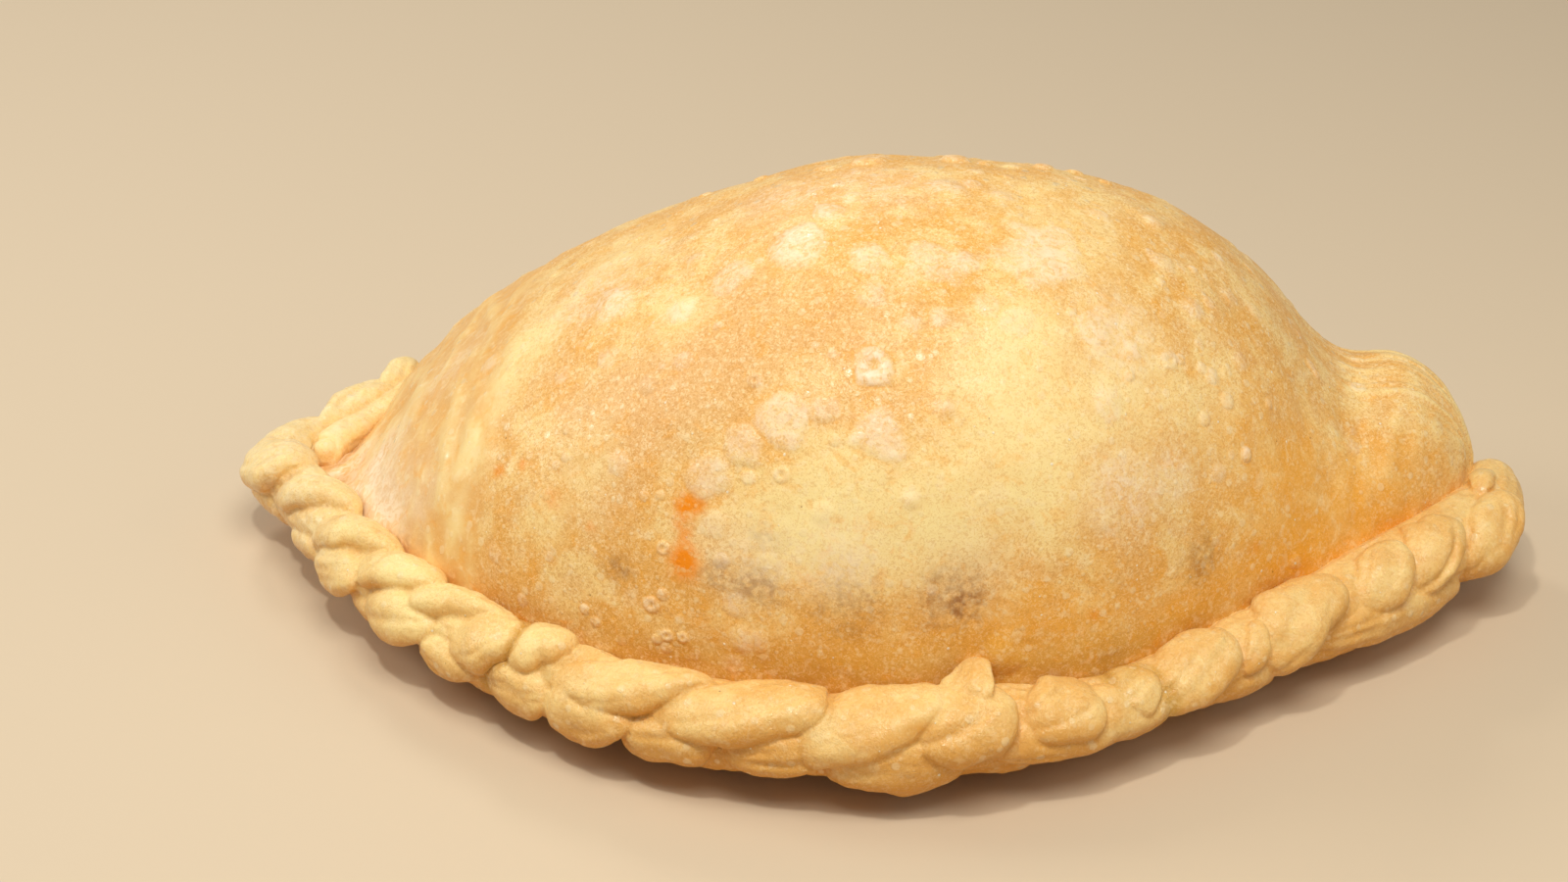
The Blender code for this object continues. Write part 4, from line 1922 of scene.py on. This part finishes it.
@dataclass(frozen=True)
class Wrinkles:
    """The wrinkles that run along a fold, each drawn at random between two sizes.

    Attributes:
        count: How many there are on a fold.
        depth: Their depth, in cm.
        seed: Seed of the draws.
        middle: Where they lie across the fold, from -1 to 1.
        bow: How far they bend.
        width: How wide they are, as a share of half the fold's width.
        first: Where they start, as a share of the fold's length.
        length: How long they are, as a share of it.
        strength: How much of the depth they have.
        fade: Over which share of the fold's length they fade out.
    """

    count: int = 5
    depth: float = 0.035
    seed: int = 60
    middle: tuple[float, float] = (-0.85, 0.85)
    bow: tuple[float, float] = (-0.3, 0.3)
    width: tuple[float, float] = (0.06, 0.18)
    first: tuple[float, float] = (-0.2, 0.45)
    length: tuple[float, float] = (0.4, 0.9)
    strength: tuple[float, float] = (0.3, 1.0)
    fade: float = 0.2

    def draw(self, number: int, share: np.ndarray, across: np.ndarray) -> np.ndarray:
        """Draw the wrinkles of one fold.

        Args:
            number: Which fold it is.
            share: How far along the fold each point lies, from 0 to 1.
            across: How far across it, from -1 to 1.

        Returns:
            The wrinkles' depth at each point, in cm.
        """
        draw = np.random.default_rng(self.seed + number)
        depth = np.zeros(len(share))
        for _ in range(self.count):
            middle = draw.uniform(*self.middle)
            bow = draw.uniform(*self.bow)
            width = draw.uniform(*self.width)
            first = draw.uniform(*self.first)
            last = first + draw.uniform(*self.length)
            place = middle + bow * (2 * share - 1) ** 2
            span = ease(share, first, first + self.fade) * ease(last - share, 0, self.fade)
            valley = np.exp(-(((across - place) / width) ** 2))
            depth += draw.uniform(*self.strength) * self.depth * span * valley
        return depth


@dataclass(frozen=True)
class RopeTones:
    """The rope's tones, with painted shade in the creases and low down and painted highlight on the
    crests. Each pair says where a tone starts and where it is full.

    Attributes:
        mottle: How uneven the tones are.
        mottle_share: How much of the pale tone follows that.
        crease_share: How strongly the creases' painted shade shows.
        shade_in_creases: How much golden painted shade lies in them.
        low: Heights over the floor at which the painted shade low down starts and is full.
        shade_low_down: How much golden painted shade lies there.
        downward: Slopes of faces that look down, as the height of their normals.
        shade_downward: How much golden painted shade lies on those.
        highlight_on_crests: How much painted highlight pales the folds' crests.
        upward: Slopes of faces that look up.
        highlight_upward: How much painted highlight pales those.
        left: Where the pale left part lies, along the body.
        cream_left: How pale it is.
        corner: Where the thin skin of the left corner lies, along the body.
        membrane: How strongly it shows.
        smooth: How smooth the rope is at least.
        smooth_mottle: How much smoother it is in places.
    """

    mottle: Lumps = Lumps(0.9, 34, 0.5)
    mottle_share: float = 0.55
    crease_share: float = 0.8
    shade_in_creases: float = 0.35
    low: tuple[float, float] = (1.3, 0.3)
    shade_low_down: float = 0.55
    downward: tuple[float, float] = (0.45, -0.5)
    shade_downward: float = 0.80
    highlight_on_crests: float = 0.70
    upward: tuple[float, float] = (0.35, 0.9)
    highlight_upward: float = 0.35
    left: tuple[float, float] = (-1.0, -9.0)
    cream_left: float = 0.80
    corner: tuple[float, float] = (-9.0, -11.5)
    membrane: float = 0.3
    smooth: float = 0.25
    smooth_mottle: float = 0.3

    def masks(
        self, points: np.ndarray, normals: np.ndarray, crease: np.ndarray, crest: np.ndarray
    ) -> dict[Mask, np.ndarray]:
        """Work out the masks of a stretch.

        Args:
            points: The vertices, in the design's cm.
            normals: Their normals.
            crease: How deep in a crease each lies, from 0 to 1.
            crest: How far up on a fold's crest, from 0 to 1.

        Returns:
            Each mask's value at each vertex.
        """
        masks = {mask: np.zeros(len(points)) for mask in Mask}
        x, _, z = points.T
        uneven = 0.5 + self.mottle.at(points)
        # Painted shade: golden in the creases, low near the floor and on faces that look down.
        gold_and_shade = self.shade_in_creases * crease + self.shade_low_down * ease(z, *self.low)
        gold_and_shade += self.shade_downward * ease(normals[:, 2], *self.downward)
        masks[Mask.GOLD_AND_SHADE] = np.clip(gold_and_shade, 0, 1)
        masks[Mask.CREASE] = self.crease_share * crease
        # Painted highlight on the crests and on faces that look up, and a paler left part.
        pale = self.highlight_on_crests * crest + self.highlight_upward * ease(normals[:, 2], *self.upward)
        pale += self.cream_left * ease(x, *self.left) * (1 - crease)
        masks[Mask.CREAM_AND_HIGHLIGHT] = pale * (1 - self.mottle_share + self.mottle_share * uneven)
        masks[Mask.MEMBRANE] = self.membrane * ease(x, *self.corner) * (1 - crease)
        masks[Mask.SMOOTH] = self.smooth + self.smooth_mottle * uneven
        return masks


@dataclass
class TwistedRope:
    """The rope of folded dough along the calzone's curved edge.

    Attributes:
        route: Its centre line.
        stretches: The pieces that it is modelled in.
        underside: The folds under it.
        core_grid: Points round the core of a stretch and along it.
        fold_grid: The same for a fold.
        core_share: The core's radius, as a share of the rope's.
        breadth: How broad the folds are, as a share of the widths given for them.
        overlap: How far the core of a stretch reaches into the next one.
        dive: How far a fold's start lies under the fold before it, as a share of the radius.
        rising: How soon it comes up from there.
        fullness: How full a fold's section is; 2 is an ellipse.
        tilt: How steeply a fold rises to the side that lies over the next one.
        swell: How much broader a fold is at its end than at its start.
        ragged: How uneven a fold's sides are.
        ragged_size: How long that unevenness is, as a share of the fold's length.
        ragged_seed: Its seed for the first fold.
        wrinkles: The wrinkles along the folds.
        voxel: Spacing of the fused surface's points, in mm.
        soften: Rounds of smoothing after the folds are fused.
        near_rounds: Rounds of smoothing that show the small hollows.
        wide_rounds: Further rounds that show the large ones.
        joint_reach: How close two stretches lie where they share a crease, in cm.
        hollow_crease: Depths of hollow, in cm, at which a crease starts and is full.
        joint_crease: The same for the closeness of two stretches.
        ridge_crest: Heights of ridge, in cm, at which a crest starts and is full.
        unevenness: The dough's broad and fine unevenness.
        calm: How much less uneven the creases are.
        sharpen: How much the creases are deepened.
        sharpen_wide: Between which depths of hollow, in cm, they are.
        sharpen_near: How much of a small hollow counts, in cm.
        tones: The rope's tones, with its painted shade and highlight.
    """

    route: RopeRoute = field(default_factory=RopeRoute)
    stretches: tuple[Stretch, ...] = (
        Stretch("rope_left", -9.0, 9.2),
        Stretch("rope_front", 9.2, 20.75),
        Stretch("rope_right", 20.75, 40.0),
    )
    underside: Underside = field(default_factory=Underside)
    core_grid: tuple[int, int] = (16, 100)
    fold_grid: tuple[int, int] = (72, 72)
    core_share: float = 0.74
    breadth: float = 1.06
    overlap: float = 0.6
    dive: float = 0.28
    rising: float = 2.2
    fullness: float = 2.25
    tilt: float = 0.20
    swell: float = 0.25
    ragged: float = 0.20
    ragged_size: float = 0.3
    ragged_seed: int = 40
    wrinkles: Wrinkles = field(default_factory=Wrinkles)
    voxel: float = 0.36
    soften: int = 2
    near_rounds: int = 12
    wide_rounds: int = 60
    joint_reach: float = 0.22
    hollow_crease: tuple[float, float] = (0.012, 0.10)
    joint_crease: tuple[float, float] = (0.2, 0.9)
    ridge_crest: tuple[float, float] = (0.02, 0.12)
    unevenness: tuple[Lumps, ...] = (
        Lumps(0.8, 31, 0.034),
        Lumps(0.35, 32, 0.020),
        Lumps(0.15, 33, 0.008),
    )
    calm: float = 0.7
    sharpen: float = 0.9
    sharpen_wide: tuple[float, float] = (-0.02, 0.06)
    sharpen_near: float = 0.03
    tones: RopeTones = field(default_factory=RopeTones)

    def build(self) -> list[bpy.types.Object]:
        """Model the rope.

        Returns:
            Its finished pieces, from the left to the right.
        """
        finish = ROPE_FINISH.build()
        folds = list(FOLDS) + self.underside.folds()
        pieces = []
        for stretch in self.stretches:
            own = [self._fold(fold, i) for i, fold in enumerate(folds) if stretch.holds(fold)]
            piece = join(stretch.name, [self._core(stretch)] + own)
            point_faces_outwards(piece)
            apply_modifier(piece, "REMESH", mode="VOXEL", voxel_size=self.voxel * MM)
            apply_modifier(piece, "SMOOTH", factor=0.5, iterations=self.soften)
            piece.data.shade_smooth()
            piece.data.materials.append(finish)
            pieces.append(piece)
        for piece in pieces:
            self._work(piece, [other for other in pieces if other is not piece])
        return pieces

    def _core(self, stretch: Stretch) -> bpy.types.Object:
        """Model the core of one stretch.

        Args:
            stretch: The stretch.

        Returns:
            The core's own closed mesh.
        """
        core = add_ball("core", *self.core_grid)
        share, turn = ball_turns(core)
        lengths = self.route.lengths()
        first = max(stretch.first - self.overlap, lengths[0])
        last = min(stretch.last + self.overlap, lengths[-1])
        length = first + (last - first) * share
        centre, radius, out, up = self.route.at(length)
        radius = self.core_share * radius
        from_end = np.minimum(length - first, last - length)
        closing = np.sqrt(1 - np.clip(1 - from_end / radius, 0, 1) ** 2)
        spoke = np.cos(turn)[:, None] * out + np.sin(turn)[:, None] * up
        move_points(core, place_in_frame(centre + (radius * closing)[:, None] * spoke))
        return core

    def _fold(self, fold: Fold, number: int) -> bpy.types.Object:
        """Bend a ball into one fold.

        Args:
            fold: The fold's sizes.
            number: Which fold it is, for the seed of its wrinkles.

        Returns:
            The fold's own closed mesh.
        """
        piece = add_ball("fold", *self.fold_grid)
        share, turn = ball_turns(piece)
        share = 0.5 - 0.5 * np.cos(math.pi * share)
        ridge = smooth_curve(fold.path)
        steps = np.linspace(0, 1, len(ridge))
        centre, radius, out, up = self.route.at(ridge[:, 0])
        angle = np.radians(ridge[:, 1])[:, None]
        spokes = np.cos(angle) * out + np.sin(angle) * up
        dive = self.dive * np.clip(1 - self.rising * steps, 0, 1) ** 2
        level = radius * (1 - dive) + fold.rise + fold.lifted * steps**2 - fold.thick
        line = centre + level[:, None] * spokes
        ahead = np.gradient(line, axis=0)
        sides = np.cross(spokes, ahead)
        sides /= np.linalg.norm(sides, axis=1)[:, None]
        columns = np.hstack([line, spokes, sides, ridge[:, 2:3]])
        read = np.stack([np.interp(share, steps, column) for column in columns.T], axis=1)
        first = np.clip(1 - 2 * share, 0, 1) ** fold.blunt[0]
        last = np.clip(2 * share - 1, 0, 1) ** fold.blunt[1]
        taper = np.sqrt(np.maximum(1 - first - last, 0))
        across = np.cos(turn)
        power = 2 / self.fullness
        rise = fold.thick * taper * signed_power(np.sin(turn), power)
        depth = fold.drawn * self.wrinkles.draw(number, share, across)
        rise -= np.where(np.sin(turn) > 0, taper * depth, 0)
        lumps = Lumps(self.ragged_size, self.ragged_seed + number, self.ragged)
        uneven = 1 + lumps.at(np.stack([share, 0.2 * across], axis=1))
        breadth = self.breadth * (1 + self.swell * (share - 0.5))
        side = breadth * read[:, 9] * taper * uneven * signed_power(across, power)
        rise -= self.tilt * side
        place = read[:, :3] + side[:, None] * read[:, 6:9] + rise[:, None] * read[:, 3:6]
        move_points(piece, place_in_frame(place))
        return piece

    def _work(self, piece: bpy.types.Object, others: list[bpy.types.Object]) -> None:
        """Work a fused stretch: deepen its creases, add its unevenness and paint it, with painted shade
        in its creases.

        Args:
            piece: The stretch.
            others: The other stretches.
        """
        points = place_in_design(read_points(piece))
        normals = read_normals(piece)
        near = settle_neighbours(piece, points, self.near_rounds)
        wide = settle_neighbours(piece, near, self.wide_rounds)
        sharp = ((near - points) * normals).sum(axis=1)
        hollow = ((wide - points) * normals).sum(axis=1)
        joint = closeness(points, others, self.joint_reach)
        crease = np.maximum(ease(hollow, *self.hollow_crease), ease(joint, *self.joint_crease))
        height = layered(self.unevenness, points) * (1 - self.calm * crease)
        deepened = np.clip(hollow, *self.sharpen_wide) + 0.5 * np.clip(sharp, 0, self.sharpen_near)
        height -= self.sharpen * deepened
        raised = points + height[:, None] * normals
        raised[:, 2] = np.maximum(raised[:, 2], 0.0)
        move_points(piece, place_in_frame(raised))
        crest = ease(-hollow, *self.ridge_crest)
        paint(piece, self.tones.masks(points, normals, crease, crest))


# ---- the setting ---------------------------------------------------------------------------------

WARM_WHITE = (1.0, 0.96, 0.90)


@dataclass(frozen=True)
class Softbox:
    """A soft round light, aimed at the calzone.

    Attributes:
        name: The light's name.
        azimuth: How far it stands to the right, in degrees.
        elevation: How far it stands above the floor, in degrees.
        distance: How far it stands from the calzone, in cm.
        size: Its diameter, in cm.
        power: Its power, in watts.
    """

    name: str
    azimuth: float
    elevation: float
    distance: float
    size: float
    power: float

    def build(self) -> None:
        """Set up the light."""
        back = Vector(direction(self.azimuth, self.elevation))
        deselect_all()
        bpy.ops.object.light_add(type="AREA", location=back * self.distance * CM)
        light = bpy.context.object
        light.name = self.name
        light.data.shape = "DISK"
        light.data.size = self.size * CM
        light.data.energy = self.power
        light.data.color = WARM_WHITE
        light.rotation_euler = (-back).to_track_quat("-Z", "Y").to_euler()


@dataclass(frozen=True)
class Studio:
    """A plain pale floor, soft light and the camera at the photograph's viewing angle.

    Attributes:
        target: Where the camera looks, in cm of the design.
        azimuth: How far the camera stands to the right, in degrees.
        elevation: How far it stands above the horizon, in degrees.
        distance: How far it stands from the target, in cm.
        lens: Its focal length, in mm.
        sensor: How wide its sensor is, in mm.
        farthest: How far it sees, in metres.
        floor_size: How wide the floor is, in metres.
        floor_colour: The floor's colour.
        floor_roughness: How matt the floor is, from 0 to 1.
        softboxes: The lights.
        fill_strength: How strong the soft light from all round is.
    """

    target: tuple[float, float, float] = (-1.589, -1.003, 3.0)
    azimuth: float = 6.358
    elevation: float = 30.0
    distance: float = 57.819
    lens: float = 67.5
    sensor: float = 36.0
    farthest: float = 50.0
    floor_size: float = 6.0
    floor_colour: Colour = linear(214, 196, 168)
    floor_roughness: float = 0.7
    softboxes: tuple[Softbox, ...] = (
        Softbox("front_light", 20, 66, 80, 40, 2.95),
        Softbox("right_light", 78, 35, 80, 30, 0.5),
        Softbox("left_light", -95, 32, 80, 30, 1.5),
        Softbox("back_light", -150, 40, 90, 20, 1.2),
        Softbox("spark", -20, 68, 90, 6, 2.0),
    )
    fill_strength: float = 0.26

    def build(self) -> None:
        """Make the floor, the lights and the camera."""
        self._floor()
        self._fill()
        for softbox in self.softboxes:
            softbox.build()
        self._camera()

    def _floor(self) -> None:
        """A pale matt floor."""
        deselect_all()
        bpy.ops.mesh.primitive_plane_add(size=self.floor_size)
        floor = bpy.context.object
        floor.name = "floor"
        graph = Graph("pale_floor")
        graph.shader.inputs["Base Color"].default_value = (*self.floor_colour, 1.0)
        graph.shader.inputs["Roughness"].default_value = self.floor_roughness
        floor.data.materials.append(graph.material)

    def _fill(self) -> None:
        """Soft light from all round."""
        world = bpy.data.worlds.new("soft_room")
        world.use_nodes = True
        sky = world.node_tree.nodes["Background"]
        sky.inputs["Color"].default_value = (*WARM_WHITE, 1.0)
        sky.inputs["Strength"].default_value = self.fill_strength
        bpy.context.scene.world = world
        bpy.context.scene.view_settings.view_transform = "Standard"

    def _camera(self) -> None:
        """The camera, aimed at the target."""
        back = Vector(direction(self.azimuth, self.elevation))
        target = Vector(place_in_frame(np.array(self.target)))
        deselect_all()
        bpy.ops.object.camera_add(location=target + back * self.distance * CM)
        camera = bpy.context.object
        camera.name = "camera"
        camera.rotation_euler = (-back).to_track_quat("-Z", "Y").to_euler()
        camera.data.sensor_width = self.sensor
        camera.data.lens = self.lens
        camera.data.clip_end = self.farthest
        bpy.context.scene.camera = camera


def dress(piece: bpy.types.Object) -> None:
    """Tie a finished piece to the frame: its body, and hide the solid it stands for.

    Args:
        piece: The piece.
    """
    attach(piece, BODY)
    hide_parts(NODE)
    piece.data.calc_loop_triangles()
    LOG.info("%s: %d triangles", piece.name, len(piece.data.loop_triangles))


def main() -> None:
    """Build the calzone and its setting."""
    logging.basicConfig(level=logging.INFO, format="%(name)s %(message)s")
    Studio().build()
    route = RopeRoute()
    rope = TwistedRope(route=route).build()
    dress(PuffedSkin(seam=route.front()).build())
    for piece in rope:
        dress(piece)


if __name__ == "__main__":
    main()
